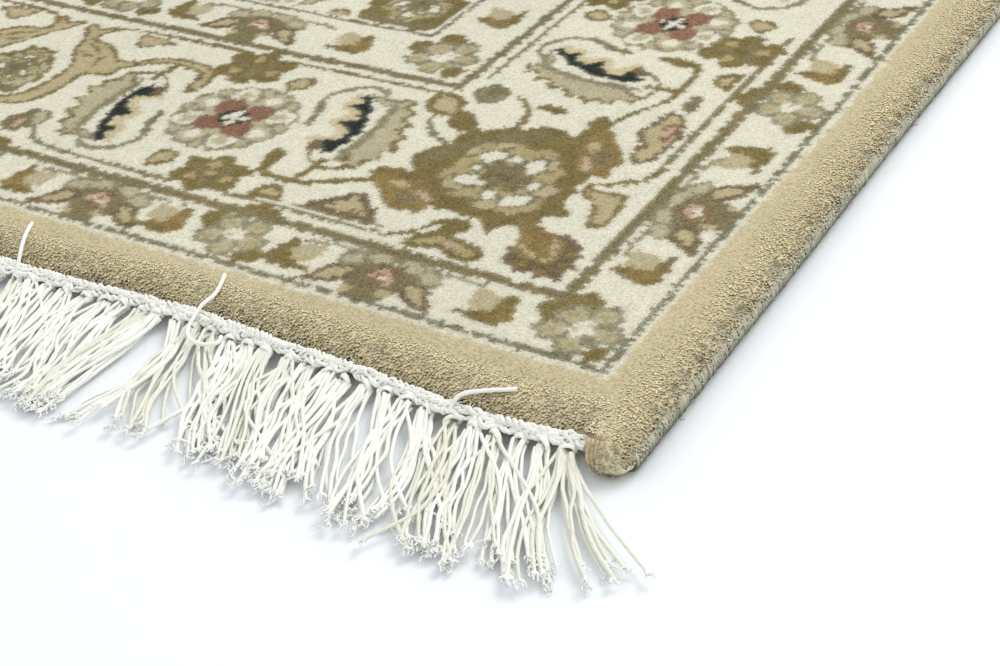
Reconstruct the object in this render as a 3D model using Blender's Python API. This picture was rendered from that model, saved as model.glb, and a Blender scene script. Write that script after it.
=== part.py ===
"""A hand-knotted rug, lying flat, with a knotted cotton fringe at each end.

Three solids: the rug itself, which is one thick woven sheet with its pile on, and a fringe at each end.
Metres, +Z up. The origin is on the floor under the middle of the rug, and its length runs along Y.
"""

import math

import bmesh
import bpy
from mathutils import Vector

# Driving sizes of the rug
WIDTH = 1.000  # between the outer faces of the two side rolls
LENGTH = 1.476  # of the pile, between the two fringes
THICKNESS = 0.014  # foundation and pile together
GAP = 0.0004  # between solids that touch

# The side rolls: each long edge is a full round, which runs a little past the fringe at the corners
ROLL_RADIUS = THICKNESS / 2
ROLL_WIDTH = 0.021  # of the round end that shows beside the fringe
ROLL_OVERHANG = 0.012  # how far that end stands past the line of the fringe
ROLL_RISE = 0.008  # over which the end line swings out to it
CORNER_RADIUS = 0.009
SIDE_SWAY = 0.0012  # the long edges aren't quite straight
SIDE_SWAY_LENGTH = 0.31

# Across the rug's end the pile slopes down to the fringe. One row for each ring of the edge, from the top
# of the pile down to the underside: how far in from the end it lies, and how high, both in thicknesses.
END_SLOPE = (
    # inset, height
    (1.10, 1.00),
    (0.75, 0.97),
    (0.45, 0.90),
    (0.22, 0.79),
    (0.06, 0.65),
    (0.00, 0.48),
    (0.00, 0.22),
    (0.05, 0.06),
    (0.16, 0.00),
)

# The near end's line, which swings in and out: one row for each turn of it
END_SWAY = (
    # across, how far inwards
    (-0.491, 0.0000),
    (-0.400, 0.0020),
    (-0.300, -0.0022),
    (-0.190, 0.0020),
    (-0.080, -0.0015),
    (0.030, 0.0018),
    (0.160, -0.0026),
    (0.262, 0.0028),
    (0.330, 0.0008),
    (0.440, -0.0050),
    (0.491, 0.0000),
)

# Points along each stretch of the outline
END_POINTS = 56
SIDE_POINTS = 40
CORNER_POINTS = 7

# The fringe: a knotted cotton strip along the rug's end, with locks of yarn hanging from it to the floor
LOCKS = 110
HEAD_REACH = WIDTH / 2 - ROLL_WIDTH  # from the middle to the strip's end
HEAD_DEPTH = 0.0065
HEAD_HEIGHT = 0.0060
HEAD_LEVEL = 0.0072  # of the strip's middle, above the floor
HEAD_DIP = 0.80  # size of the strip between two knots, as a share of a knot's
LOCK_WIDTH = 0.0036
LOCK_THICKNESS = 0.0024
LOCK_LENGTH = 0.074
LOCK_UNEVEN = 0.004  # of the locks' lengths, either way
LOCK_BEND = 1.3  # above 1 a lock sets off straight and leans more towards its tip
# Stations along a lock, one row each: how far along it lies as a share of its length, the height of its
# middle, and its width as a share of the widest
LOCK_STATIONS = (
    # along, level, width
    (0.09, 0.0052, 0.92),
    (0.22, 0.0024, 0.85),
    (0.52, LOCK_THICKNESS / 2, 0.95),
    (1.00, LOCK_THICKNESS / 2, 0.80),
)
# How far a lock's tip lies to the right of its root: the near fringe is brushed to the right, and fans out
# at the corner
LEAN = (
    # across, shift of the tip
    (-0.480, 0.004),
    (-0.340, 0.024),
    (-0.200, 0.006),
    (-0.060, 0.022),
    (0.080, 0.012),
    (0.190, 0.021),
    (0.262, 0.003),
    (0.282, 0.031),
    (0.325, 0.031),
    (0.355, 0.022),
    (0.430, 0.030),
    (0.448, 0.048),
    (0.480, 0.054),
)
CLUMP_LENGTH = 0.066  # locks also lean together into clumps this far apart
CLUMP_LEAN = 0.0012

# Loose yarn ends that lie back over the pile at the near end. One row each: where the yarn leaves the
# strip, then its two further points, each as a shift across and a distance in from the strip.
LOOSE_ENDS = (
    # across, middle's shift, middle's distance in, tip's shift, tip's distance in
    (0.1600, -0.0040, 0.0085, -0.0145, 0.0275),
    (0.2745, 0.0005, 0.0125, -0.0060, 0.0305),
    (0.4165, 0.0085, 0.0075, 0.0235, 0.0165),
)
LOOSE_SIZE = 0.0019
LOOSE_LIFT = 0.001  # the yarn's way up from the strip ends this far below and behind its lie on the pile

WOOL_BEIGE = (0.50, 0.41, 0.25)
COTTON_WHITE = (0.80, 0.79, 0.71)


def smooth(t):
    """A soft step from 0 to 1."""
    t = min(1.0, max(0.0, t))
    return t * t * (3 - 2 * t)


def read_table(rows, x):
    """The value of a two-column table at x, with a soft step between rows."""
    for (x0, value0), (x1, value1) in zip(rows, rows[1:]):
        if x0 <= x <= x1:
            return value0 + (value1 - value0) * smooth((x - x0) / (x1 - x0))
    return 0.0


def roll_share(x):
    """0 along the fringe, 1 on the round end of a side roll."""
    return smooth((abs(x) - HEAD_REACH) / ROLL_RISE)


def end_stations():
    """Across, the outline's points along the near end, closer together where it swings out to the rolls."""
    reach = WIDTH / 2 - CORNER_RADIUS
    return [reach * math.sin(math.pi * (i / END_POINTS - 0.5)) for i in range(END_POINTS + 1)]


def near_end(x):
    """Y of the rug's near end, which runs straight from one of the outline's points to the next."""
    stations = end_stations()
    after = next(i for i, station in enumerate(stations[1:], 1) if x <= station or i == END_POINTS)
    x0, x1 = stations[after - 1 : after + 1]
    y0, y1 = (
        -LENGTH / 2 + read_table(END_SWAY, station) - ROLL_OVERHANG * roll_share(station)
        for station in (x0, x1)
    )
    return y0 + (y1 - y0) * (x - x0) / (x1 - x0)


def corner(centre, first_angle):
    """Outline points round a corner: place, outward direction, and 0 for the full round edge."""
    rows = []
    for i in range(CORNER_POINTS):
        angle = math.radians(first_angle + 90 * i / (CORNER_POINTS - 1))
        out = Vector((math.cos(angle), math.sin(angle), 0))
        rows.append((centre + out * CORNER_RADIUS, out, 0.0))
    return rows


def half_outline():
    """The near-left corner, near end, near-right corner and right side, anticlockwise from above."""
    corner_x = WIDTH / 2 - CORNER_RADIUS
    corner_y = -LENGTH / 2 - ROLL_OVERHANG + CORNER_RADIUS
    rows = corner(Vector((-corner_x, corner_y, 0)), 180)
    for x in end_stations()[1:-1]:
        rows.append((Vector((x, near_end(x), 0)), Vector((0, -1, 0)), 1 - roll_share(x)))
    rows += corner(Vector((corner_x, corner_y, 0)), 270)
    for i in range(1, SIDE_POINTS):
        y = corner_y * (1 - 2 * i / SIDE_POINTS)
        fade = math.sin(math.pi * i / SIDE_POINTS)
        dip = (1 - math.cos(2 * math.pi * y / SIDE_SWAY_LENGTH)) / 2
        x = WIDTH / 2 - SIDE_SWAY * fade * dip
        rows.append((Vector((x, y, 0)), Vector((1, 0, 0)), 0.0))
    return rows


def outline():
    """The whole outline: the half, then the half turned round the middle."""
    half = half_outline()
    turned = [(Vector((-p.x, -p.y, 0)), -out, end) for p, out, end in half]
    return half + turned


def edge_point(row, ring):
    """Where one ring of the edge passes one point of the outline."""
    place, out, end_share = row
    angle = math.pi * (0.5 - ring / (len(END_SLOPE) - 1))
    round_inset = ROLL_RADIUS * (1 - math.cos(angle))
    round_height = ROLL_RADIUS * (1 + math.sin(angle))
    slope_inset, slope_height = END_SLOPE[ring]
    inset = round_inset + (slope_inset * THICKNESS - round_inset) * end_share
    height = round_height + (slope_height * THICKNESS - round_height) * end_share
    return place - out * inset + Vector((0, 0, height))


def finish_object(name, bm, material):
    """Turns a bmesh into an object of one material, with its faces out and its round parts smooth."""
    bmesh.ops.recalc_face_normals(bm, faces=bm.faces)
    mesh = bpy.data.meshes.new(name)
    bm.to_mesh(mesh)
    bm.free()
    mesh.materials.append(material)
    mesh.shade_smooth()
    mesh.set_sharp_from_angle(angle=math.radians(40))
    made = bpy.data.objects.new(name, mesh)
    bpy.context.scene.collection.objects.link(made)
    return made


def build_rug(material):
    """The rug: rings of the edge from the top of the pile to the underside, closed by two flat faces."""
    bm = bmesh.new()
    rows = outline()
    rings = [[bm.verts.new(edge_point(row, ring)) for row in rows] for ring in range(len(END_SLOPE))]
    for upper, lower in zip(rings, rings[1:]):
        for i in range(len(rows)):
            j = (i + 1) % len(rows)
            bm.faces.new((upper[i], lower[i], lower[j], upper[j]))
    bm.faces.new(rings[0])
    bm.faces.new(reversed(rings[-1]))
    return finish_object("knotted_rug", bm, material)


def head_ring(bm, x, size):
    """Four corners of the strip at x: front top, front bottom, back bottom, back top."""
    back = near_end(x) - GAP
    front = back - HEAD_DEPTH * size
    low = HEAD_LEVEL - HEAD_HEIGHT / 2 * size
    high = HEAD_LEVEL + HEAD_HEIGHT / 2 * size
    return [bm.verts.new((x, y, z)) for y, z in ((front, high), (front, low), (back, low), (back, high))]


def tube(bm, rings):
    """Walls between rings of four corners, with a cap on the last."""
    for ring, following in zip(rings, rings[1:]):
        for k in range(4):
            bm.faces.new((ring[k], ring[(k + 1) % 4], following[(k + 1) % 4], following[k]))
    bm.faces.new(rings[-1])


def lock(bm, root, x, length):
    """A lock of yarn from its root, the four corners of a knot's front, down to the floor and along it."""
    front = near_end(x) - GAP - HEAD_DEPTH
    lean = read_table(LEAN, x) + CLUMP_LEAN * math.sin(2 * math.pi * x / CLUMP_LENGTH)
    reach = math.sqrt(length**2 - lean**2)
    half = LOCK_WIDTH / 2
    rings = [root]
    for along, level, width in LOCK_STATIONS:
        middle = x + lean * along**LOCK_BEND
        y = front - reach * along
        low = level - LOCK_THICKNESS / 2
        high = level + LOCK_THICKNESS / 2
        corners = ((-half * width, high), (half * width, high), (half * width, low), (-half * width, low))
        rings.append([bm.verts.new((middle + across, y, z)) for across, z in corners])
    tube(bm, rings)


def loose_end(bm, root, row):
    """A loose yarn from its root, the four corners of a knot's top, up and back over the pile."""
    x, middle_shift, middle_in, tip_shift, tip_in = row
    start = near_end(x) - GAP - HEAD_DEPTH / 2
    level = THICKNESS + GAP + LOOSE_SIZE / 2
    half = LOOSE_SIZE / 2
    leaving = Vector((x, start + LOOSE_LIFT, level - LOOSE_LIFT))
    middle = Vector((x + middle_shift, start + middle_in, level))
    tip = Vector((x + tip_shift, start + tip_in, level))
    # Where it leaves the strip the yarn still points up, so its section lies flat
    sections = [(leaving, Vector((half, 0, 0)), Vector((0, half, 0)))]
    for place, ahead in ((middle, tip - leaving), (tip, tip - middle)):
        side = Vector((ahead.y, -ahead.x, 0)).normalized() * half
        sections.append((place, side, Vector((0, 0, half))))
    rings = [root]
    for place, side, rise in sections:
        corners = (place - side - rise, place + side - rise, place + side + rise, place - side + rise)
        rings.append([bm.verts.new(c) for c in corners])
    tube(bm, rings)


def build_fringe(name, material, loose_rows):
    """The fringe of the near end: the strip as one row of knots, and a lock from the front of each."""
    bm = bmesh.new()
    pitch = 2 * HEAD_REACH / LOCKS
    centres = [-HEAD_REACH + pitch * (i + 0.5) for i in range(LOCKS)]
    loose_at = {min(range(LOCKS), key=lambda i: abs(centres[i] - row[0])): row for row in loose_rows}
    previous = head_ring(bm, -HEAD_REACH, HEAD_DIP)
    bm.faces.new(previous)
    for i, x in enumerate(centres):
        left = head_ring(bm, x - LOCK_WIDTH / 2, 1)
        right = head_ring(bm, x + LOCK_WIDTH / 2, 1)
        dip = head_ring(bm, x + pitch / 2, HEAD_DIP)
        for first, second in ((previous, left), (left, right), (right, dip)):
            # The knot's front stays open for the lock, and its top for a loose end
            open_walls = {0, 3} if i in loose_at else {0}
            for k in range(4):
                if first is not left or k not in open_walls:
                    bm.faces.new((first[k], first[(k + 1) % 4], second[(k + 1) % 4], second[k]))
        uneven = (math.sin(i * 2.4) + math.sin(i * 5.3 + 1)) / 2
        lock(bm, [left[0], right[0], right[1], left[1]], x, LOCK_LENGTH + LOCK_UNEVEN * uneven)
        if i in loose_at:
            loose_end(bm, [left[0], right[0], right[3], left[3]], loose_at[i])
        previous = dip
    bm.faces.new(previous)
    return finish_object(name, bm, material)


def make_material(name, colour, roughness):
    material = bpy.data.materials.new(name)
    material.use_nodes = True
    shader = material.node_tree.nodes["Principled BSDF"]
    shader.inputs["Base Color"].default_value = (*colour, 1)
    shader.inputs["Roughness"].default_value = roughness
    shader.inputs["Metallic"].default_value = 0.0
    return material


def main():
    for old in list(bpy.data.objects):
        bpy.data.objects.remove(old)
    wool = make_material("wool_pile", WOOL_BEIGE, 0.95)
    cotton = make_material("cotton_yarn", COTTON_WHITE, 0.9)
    build_rug(wool)
    build_fringe("fringe_near_end", cotton, LOOSE_ENDS)
    # The far fringe is the near one without its loose ends, turned about the middle
    far = build_fringe("fringe_far_end", cotton, ())
    far.rotation_euler.z = math.pi


main()
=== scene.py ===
"""A hand-knotted rug with a flowered border, lying flat, with a knotted cotton fringe at each end."""

import math

import bpy
import numpy as np
from mathutils import Matrix, Vector


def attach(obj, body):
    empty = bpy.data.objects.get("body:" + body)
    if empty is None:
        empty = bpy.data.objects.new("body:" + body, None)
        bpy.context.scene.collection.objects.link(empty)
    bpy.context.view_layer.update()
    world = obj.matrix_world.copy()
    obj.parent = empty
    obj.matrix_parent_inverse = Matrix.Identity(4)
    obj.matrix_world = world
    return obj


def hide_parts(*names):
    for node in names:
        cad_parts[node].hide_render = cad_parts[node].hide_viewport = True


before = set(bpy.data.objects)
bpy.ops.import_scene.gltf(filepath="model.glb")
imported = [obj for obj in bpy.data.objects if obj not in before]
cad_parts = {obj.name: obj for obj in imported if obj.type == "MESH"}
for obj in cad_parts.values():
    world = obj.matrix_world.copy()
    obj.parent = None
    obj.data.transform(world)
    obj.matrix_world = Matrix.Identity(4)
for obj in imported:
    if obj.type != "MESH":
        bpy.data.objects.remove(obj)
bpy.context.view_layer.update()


# The room: a pale floor that runs out of sight, and one large soft lamp above and behind the rug's right
# side, with light from all round. The camera looks down on the near right corner.

FLOOR_LEVEL = -0.0004
FLOOR_REACH = 40.0
FLOOR_COLOUR = (0.93, 0.96, 0.985)
FLOOR_ROUGHNESS = 0.6


def placed(name, data):
    """A new object in the scene."""
    made = bpy.data.objects.new(name, data)
    bpy.context.scene.collection.objects.link(made)
    return made


floor_mesh = bpy.data.meshes.new("floor")
floor_corners = ((-1, -1), (1, -1), (1, 1), (-1, 1))
floor_mesh.from_pydata(
    [(x * FLOOR_REACH, y * FLOOR_REACH, FLOOR_LEVEL) for x, y in floor_corners], [], [(0, 1, 2, 3)]
)
floor = placed("floor", floor_mesh)
floor_paint = bpy.data.materials.new("pale_floor")
floor_paint.use_nodes = True
floor_paint.node_tree.nodes["Principled BSDF"].inputs["Base Color"].default_value = (*FLOOR_COLOUR, 1)
floor_paint.node_tree.nodes["Principled BSDF"].inputs["Roughness"].default_value = FLOOR_ROUGHNESS
floor_mesh.materials.append(floor_paint)

ROOM_COLOUR = (0.95, 0.975, 1.0)
ROOM_LIGHT = 0.86

world = bpy.data.worlds.new("studio")
world.use_nodes = True
world.node_tree.nodes["Background"].inputs["Color"].default_value = (*ROOM_COLOUR, 1)
world.node_tree.nodes["Background"].inputs["Strength"].default_value = ROOM_LIGHT
bpy.context.scene.world = world
bpy.context.scene.view_settings.view_transform = "Standard"

LAMP_PLACE = Vector((1.3, 1.2, 2.6))
LAMP_SIZE = 2.0
LAMP_POWER = 44.0
LAMP_COLOUR = (1.0, 0.985, 0.96)

lamp_data = bpy.data.lights.new("soft_lamp", "AREA")
lamp_data.shape = "DISK"
lamp_data.size = LAMP_SIZE
lamp_data.energy = LAMP_POWER
lamp_data.color = LAMP_COLOUR
lamp = placed("soft_lamp", lamp_data)
lamp.location = LAMP_PLACE
lamp.rotation_euler = (-LAMP_PLACE).to_track_quat("-Z", "Y").to_euler()

CAMERA_PLACE = Vector((0.7532, -1.1907, 0.4337))
CAMERA_AZIMUTH = math.radians(34.749)
CAMERA_HEIGHT_ANGLE = math.radians(34.956)
CAMERA_ROLL = math.radians(-5.732)
CAMERA_LENS = 60.14

back = Vector((
    math.sin(CAMERA_AZIMUTH) * math.cos(CAMERA_HEIGHT_ANGLE),
    -math.cos(CAMERA_AZIMUTH) * math.cos(CAMERA_HEIGHT_ANGLE),
    math.sin(CAMERA_HEIGHT_ANGLE),
))
across = Vector((0, 0, 1)).cross(back).normalized()
above = back.cross(across)
turned_across = math.cos(CAMERA_ROLL) * across + math.sin(CAMERA_ROLL) * above
turned_above = math.cos(CAMERA_ROLL) * above - math.sin(CAMERA_ROLL) * across
camera_data = bpy.data.cameras.new("camera")
camera_data.lens = CAMERA_LENS
camera = placed("camera", camera_data)
camera_turn = Matrix((turned_across, turned_above, back)).transposed().to_4x4()
camera.matrix_world = Matrix.Translation(CAMERA_PLACE) @ camera_turn
bpy.context.scene.camera = camera


# The weaver's cartoon: the pattern drawn on squared paper, one drawing for the border along each end, one
# for the border along each side and one for the field. Each is drawn once from its corner to its middle
# and woven mirrored, as such borders are. Every motif is a common one, drawn as a few curves.

CHART_UNIT = 0.002  # m: a hundredth of the border from its outer line to its inner one, about a knot
END_LENGTH = 232.75  # from the outer line's corner to the middle of an end
SIDE_LENGTH = 351.75  # and to the middle of a side
BORDERS_DEPTH = 127  # all the bands of the border together
SIDE_REPEAT = 193.2  # from the corner's first motifs to where they come again along a side
SQUARES = 2  # of the paper, to a unit

WOOLS = {
    # wool: its colour in daylight, 0 to 255
    "cream": (213, 208, 186),
    "beige": (193, 179, 143),
    "tan": (175, 161, 124),
    "straw": (165, 150, 108),
    "olive": (117, 103, 61),
    "moss": (100, 90, 52),
    "brown": (120, 109, 77),
    "umber": (108, 94, 68),
    "amber": (131, 111, 67),
    "stone": (174, 165, 134),
    "sage": (133, 127, 98),
    "line": (113, 109, 84),
    "rose": (130, 96, 74),
    "pink": (184, 158, 133),
    "night": (38, 42, 36),
}
WOOL_NUMBER = {name: number for number, name in enumerate(WOOLS)}


def rounded(points, closed, times=2):
    """The points with each corner cut off a few times over, so that a few points make a curve."""
    points = np.array(points, float)
    for _ in range(times):
        after = np.roll(points, -1, axis=0) if closed else points[1:]
        before = points if closed else points[:-1]
        cut = np.stack([0.75 * before + 0.25 * after, 0.25 * before + 0.75 * after], axis=1)
        cut = cut.reshape(-1, points.shape[1])
        points = cut if closed else np.concatenate([points[:1], cut, points[-1:]])
    return points


class Cartoon:
    """Squared paper, each square with its wool's number. Places are (along, inward) in chart units."""

    def __init__(self, along, inward):
        self.wool = np.zeros((math.ceil(inward * SQUARES) + 1, math.ceil(along * SQUARES) + 1), np.uint8)
        self.place()

    def place(self, at=(0, 0), turn=0, flip=1, size=1):
        """Where the next shapes' own origin goes, how far they turn, and whether they are flipped."""
        angle = math.radians(turn)
        self.at = np.array(at, float)
        self.axes = size * np.array([
            (flip * math.cos(angle), flip * math.sin(angle)),
            (-math.sin(angle), math.cos(angle)),
        ])

    def squares_near(self, points, margin):
        """The window of squares round some points, and those squares' places."""
        low = np.floor((points.min(0) - margin) * SQUARES).astype(int)
        high = np.ceil((points.max(0) + margin) * SQUARES).astype(int) + 1
        low = np.clip(low, 0, self.wool.shape[::-1])
        high = np.clip(high, low, self.wool.shape[::-1])
        rows = slice(low[1], high[1])
        columns = slice(low[0], high[0])
        v, u = np.mgrid[rows, columns] / SQUARES
        return (rows, columns), u[..., None], v[..., None]

    def fill(self, wool, points, rim=None, rim_width=1.2, curved=True):
        """A filled shape, with or without a rim of another wool inside its edge."""
        path = rounded(points, True) if curved else np.array(points, float)
        path = path @ self.axes + self.at
        window, u, v = self.squares_near(path, 0)
        (x0, y0), (x1, y1) = path.T, np.roll(path, -1, axis=0).T
        rise = np.where(y1 == y0, 1e-9, y1 - y0)
        crossed = ((y0 > v) != (y1 > v)) & (u < (x1 - x0) * (v - y0) / rise + x0)
        inside = crossed.sum(axis=-1) % 2 == 1
        self.wool[window][inside] = WOOL_NUMBER[wool]
        if rim:
            near = self.distance(path, u, v, True) < rim_width
            self.wool[window][inside & near] = WOOL_NUMBER[rim]

    def distance(self, path, u, v, closed):
        """How far each square is from a path."""
        start = path if closed else path[:-1]
        step = (np.roll(path, -1, axis=0) if closed else path[1:]) - start
        length = np.maximum((step**2).sum(1), 1e-12)
        share = np.clip(((u - start[:, 0]) * step[:, 0] + (v - start[:, 1]) * step[:, 1]) / length, 0, 1)
        away_u = u - start[:, 0] - share * step[:, 0]
        away_v = v - start[:, 1] - share * step[:, 1]
        return np.sqrt((away_u**2 + away_v**2).min(-1))

    def line(self, wool, points, width=1.4):
        """A curved line."""
        path = rounded(points, False) @ self.axes + self.at
        window, u, v = self.squares_near(path, width)
        self.wool[window][self.distance(path, u, v, False) < width / 2] = WOOL_NUMBER[wool]

    def dot(self, wool, at, across, tall=None, turn=0, rim=None, rim_width=1.2):
        """An ellipse, by its half widths."""
        angle = math.radians(turn)
        ring = np.radians(np.arange(0, 360, 30))
        x = across * np.cos(ring)
        y = (tall or across) * np.sin(ring)
        u = at[0] + x * math.cos(angle) - y * math.sin(angle)
        v = at[1] + x * math.sin(angle) + y * math.cos(angle)
        self.fill(wool, np.column_stack([u, v]), rim, rim_width)

    def bands(self, wool, rows):
        """Straight bands along the whole paper, each from one depth to another."""
        for low, high in rows:
            self.wool[round(low * SQUARES) : round(high * SQUARES)] = WOOL_NUMBER[wool]


def around(count, across, tall=None, first=0):
    """Places round an ellipse, each with its angle in degrees."""
    for i in range(count):
        degrees = first + 360 / count * i
        angle = math.radians(degrees)
        yield (across * math.cos(angle), (tall or across) * math.sin(angle)), degrees


def small_rosette(paper, at, turn=0):
    """The narrow border's round flower: five pale lobes about a cream eye, with two olive leaves."""
    paper.place(at, turn)
    paper.fill("olive", [(-4.5, 8.5), (5.5, 8.5), (7.5, 12.5), (3, 15), (-5, 14)])
    paper.fill("olive", [(6, 1), (11, 0), (14.5, 5.5), (10, 9.5), (6, 7)])
    paper.fill("olive", [(-6, -4), (-12, -2), (-14, -7), (-8, -10.5), (-4, -8)])
    for lobe, angle in around(5, 6, 5.4, 50):
        paper.dot("stone", lobe, 4.8, 4.2, angle, "sage", 1.6)
        paper.dot("straw", (1.1 * lobe[0], 1.1 * lobe[1]), 1.3)
    paper.dot("cream", (0, 0), 3, 2.6)
    paper.dot("stone", (1, 0), 1)


def tulip_leaf(paper, at, flip=1, body="amber"):
    """The narrow border's leaf: a pale cup with a dark sole."""
    paper.place(at, 0, flip, 0.82)
    paper.fill(body, [(10.5, -5.5), (3, -4.5), (-2, 7), (-4.5, 6.5), (-7.5, 0), (-8.5, -7), (2, -7.5)])
    paper.fill("olive", [(12, -6.5), (4, -4.5), (-3, -5), (-7.5, -8.5), (2, -8.2)])
    paper.fill("olive", [(-2, 8), (-1, 3), (-4.5, 2), (-6, 7)])
    paper.fill("stone", [
        (7.5, 7.5), (3, 5.5), (-1.5, 4.5), (-1, -3.5), (6.5, -3.5), (8, 1),
    ], "tan", 1.6)


def small_lotus(paper, at, flip=1):
    """The narrow border's fan flower: a brown heart with a pink eye, pale petals and tan side lobes."""
    paper.place(at, 0, flip)
    paper.fill("brown", [
        (-13.5, 3.5), (-11, -0.5), (-6, -5), (-5, -11.5), (5, -11.5), (6, -5), (11, -0.5), (13.5, 3.5),
        (0, 7),
    ])
    for side in (-1, 1):
        paper.fill("tan", [
            (side * 6.5, 2.5), (side * 14, 1.5), (side * 15.5, -3.5), (side * 20, -8.5),
            (side * 11.5, -7.5), (side * 6.5, -3.5),
        ], "umber", 1.8)
        paper.dot("stone", (side * 10.5, 4.5), 4.8, 3.2, side * -25, "sage", 1.1)
        paper.dot("stone", (side * 4.5, 6.8), 4.6, 3.2, side * -10, "sage", 1.1)
    paper.fill("brown", [(-7.5, 3.5), (-3, 6), (3, 6), (7.5, 3.5), (5.5, -5.5), (-5.5, -5.5)])
    paper.fill("rose", [(-3.5, 2.5), (-1, 5), (3, 3.5), (4, 0), (1, -3), (-3, -1)])
    paper.line("pink", [(-3, -1.5), (-1.2, 2.2), (1.8, 2.8), (3.2, 0)], 1.5)
    paper.line("cream", [(-1.2, -0.8), (1.2, 0.4)], 1.2)
    paper.dot("tan", (-4.5, -5.5), 2, 1.6)
    paper.dot("tan", (5, -7), 1.8, 1.4)


def narrow_border(paper, level, rosettes, leaves, lotuses):
    """One of the two narrow borders: rosettes, leaves and lotuses in turn, on a thin broken vine."""
    for u in lotuses:
        paper.place((u, level))
        paper.line("sage", [(26, 5.5), (19, 7), (13, 6.5), (2, 8)], 1.4)
        paper.line("sage", [(-24, 6), (-18, 6.5), (-10, 6), (0, 8)], 1.4)
        small_lotus(paper, (u, level - 1))
    for u in rosettes:
        small_rosette(paper, (u, level))
    for i, u in enumerate(leaves):
        tulip_leaf(paper, (u, level), 1 if i % 2 == 0 else -1, "olive" if i % 3 == 1 else "amber")


def guard_lines(paper):
    """The dark lines between the bands."""
    paper.bands("line", [(0, 0.8), (124.6, 126.2)])
    paper.bands("brown", [(19.6, 22.9), (98.3, 101.7)])


def great_rosette(paper, at):
    """The wide border's round flower: a cream pinwheel on night blue, four rose petals, eight pale ones."""
    paper.place(at)
    for place, angle in around(8, 15):
        paper.dot("stone", place, 4, 3.6, angle, "sage", 1.2)
    for i, (place, angle) in enumerate(around(8, 12.8, first=22.5)):
        paper.dot("cream" if i % 2 else "stone", place, 6.2, 5.2, angle, "sage", 1.1)
        paper.dot("stone" if i % 2 else "cream", place, 2.6, 2.2, angle)
    paper.dot("stone", (0, 0), 10.5)
    for place, angle in around(4, 6.6, first=45):
        paper.dot("rose", place, 5.2, 4.5, angle)
    paper.fill("night", [(5.8, 0), (0, 5.8), (-5.8, 0), (0, -5.8)], curved=False)
    paper.line("cream", [(-3.4, 0.4), (3.4, -0.4)], 1.7)
    paper.line("cream", [(-0.4, -3.4), (0.4, 3.4)], 1.7)


def saw_leaf(paper, at, turn=0, flip=1):
    """The wide border's long leaf: a night-blue saw, a striped blade with a toothed edge, a curled tip."""
    paper.place(at, turn, flip)
    # the hook over its tip and the curl at its stalk
    paper.line("sage", [
        (-7, 16.5), (0, 15), (1.5, 20), (7.5, 21.5), (13.5, 17.5), (16.8, 11), (15.5, 6), (12.5, 2),
    ], 2)
    paper.line("brown", [(15.5, 8), (13.5, 3), (12, -4)], 2.2)
    paper.line("olive", [(3, -15.5), (0, -20.5), (-6, -22.5), (-12.5, -20.5), (-14, -15)], 1.5)
    paper.line("olive", [(-4.5, -19), (-4, -22.5), (-3.5, -28.5)], 2.4)
    # the blade, with teeth along its outer edge
    paper.fill("stone", [
        (-5, 19), (-9.5, 17.5), (-8.5, 14.5), (-13.5, 12.5), (-11.5, 9), (-16, 6), (-14, 2.5),
        (-18.5, -0.5), (-16.5, -3.5), (-20, -7.5), (-16.5, -9.5), (-18.5, -14), (-14.5, -15),
        (-15, -19.5), (-11, -21), (-8, -15), (-5, -5), (-5, 6), (-3, 14),
    ], "olive", 1.4, False)
    paper.fill("stone", [(-7, 15), (-11.5, 4), (-14.5, -6), (-12, -16), (-8.5, -13), (-7.5, 4)])
    paper.fill("sage", [
        (-2, 16), (-6, 14.5), (-7.8, 6), (-8.8, -6), (-8.2, -19), (-5.8, -18), (-5, -6), (-3.5, 6),
    ])
    paper.fill("cream", [(0, 15), (-3.5, 13), (-6, 2), (-6, -12), (-3, -16), (0, -5)])
    paper.fill("stone", [(-7, 16), (1, 16.5), (6, 18.5), (3.5, 14.5), (-2, 12)], "sage", 1)
    # the saw, its tan gullets and its brown root
    paper.line("beige", [
        (8.5, 15), (6, 12), (8.5, 8.5), (3.8, 7), (2.4, 3.5), (6.6, 0), (1.8, -2.6), (0, -6),
        (0.6, -8.8), (5.6, -10.5),
    ], 3.4)
    paper.fill("night", [
        (5.5, 17.2), (7.5, 15), (4.8, 12), (7.5, 8.5), (2.6, 7.8), (0.8, 3.5), (5.5, 0), (0.4, -2),
        (-1.6, -6), (-1.2, -8.8), (4.5, -10.5), (2, -13), (0, -14), (-1, -16.5), (-3.2, -15),
        (-4.7, -10), (-4.3, -3), (-2.7, 3), (-0.8, 8), (1.9, 11.5), (3.7, 15),
    ], curved=False)
    paper.fill("umber", [(5.5, -10.5), (2.5, -10), (0, -14.5), (2.5, -16.5), (5, -14)])


def blossom(paper, at, heart="tan", turn=0, size=1.0):
    """A full olive flower head, seen from the side, with a frilled edge."""
    paper.place(at, turn, 1, size)
    for place, angle in around(6, 6.2, 4.8, 30):
        paper.dot("olive", place, 5, 4, angle)
        paper.dot("olive", (1.7 * place[0], 1.6 * place[1]), 1.8)
    paper.dot("olive", (0, 0), 6.8, 5.5)
    for (hollow, _), (anther, _) in zip(around(3, 4.8, 3.8, 15), around(3, 6, 4.6, 75)):
        paper.dot("brown", hollow, 2)
        paper.dot("straw", anther, 1.7)
    paper.dot(heart, (0, 0), 2.5, 2.1, 0, "brown", 0.8)


def leaflet(paper, at, turn=0, size=1.0, heart="tan", rim="olive"):
    """A small pointed leaf with a pale heart."""
    paper.place(at, turn, 1, size)
    paper.fill(heart, [(0, 6), (-4.5, 1), (-3, -4.5), (3, -4.5), (4.5, 1)], rim, 1.4)


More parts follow.
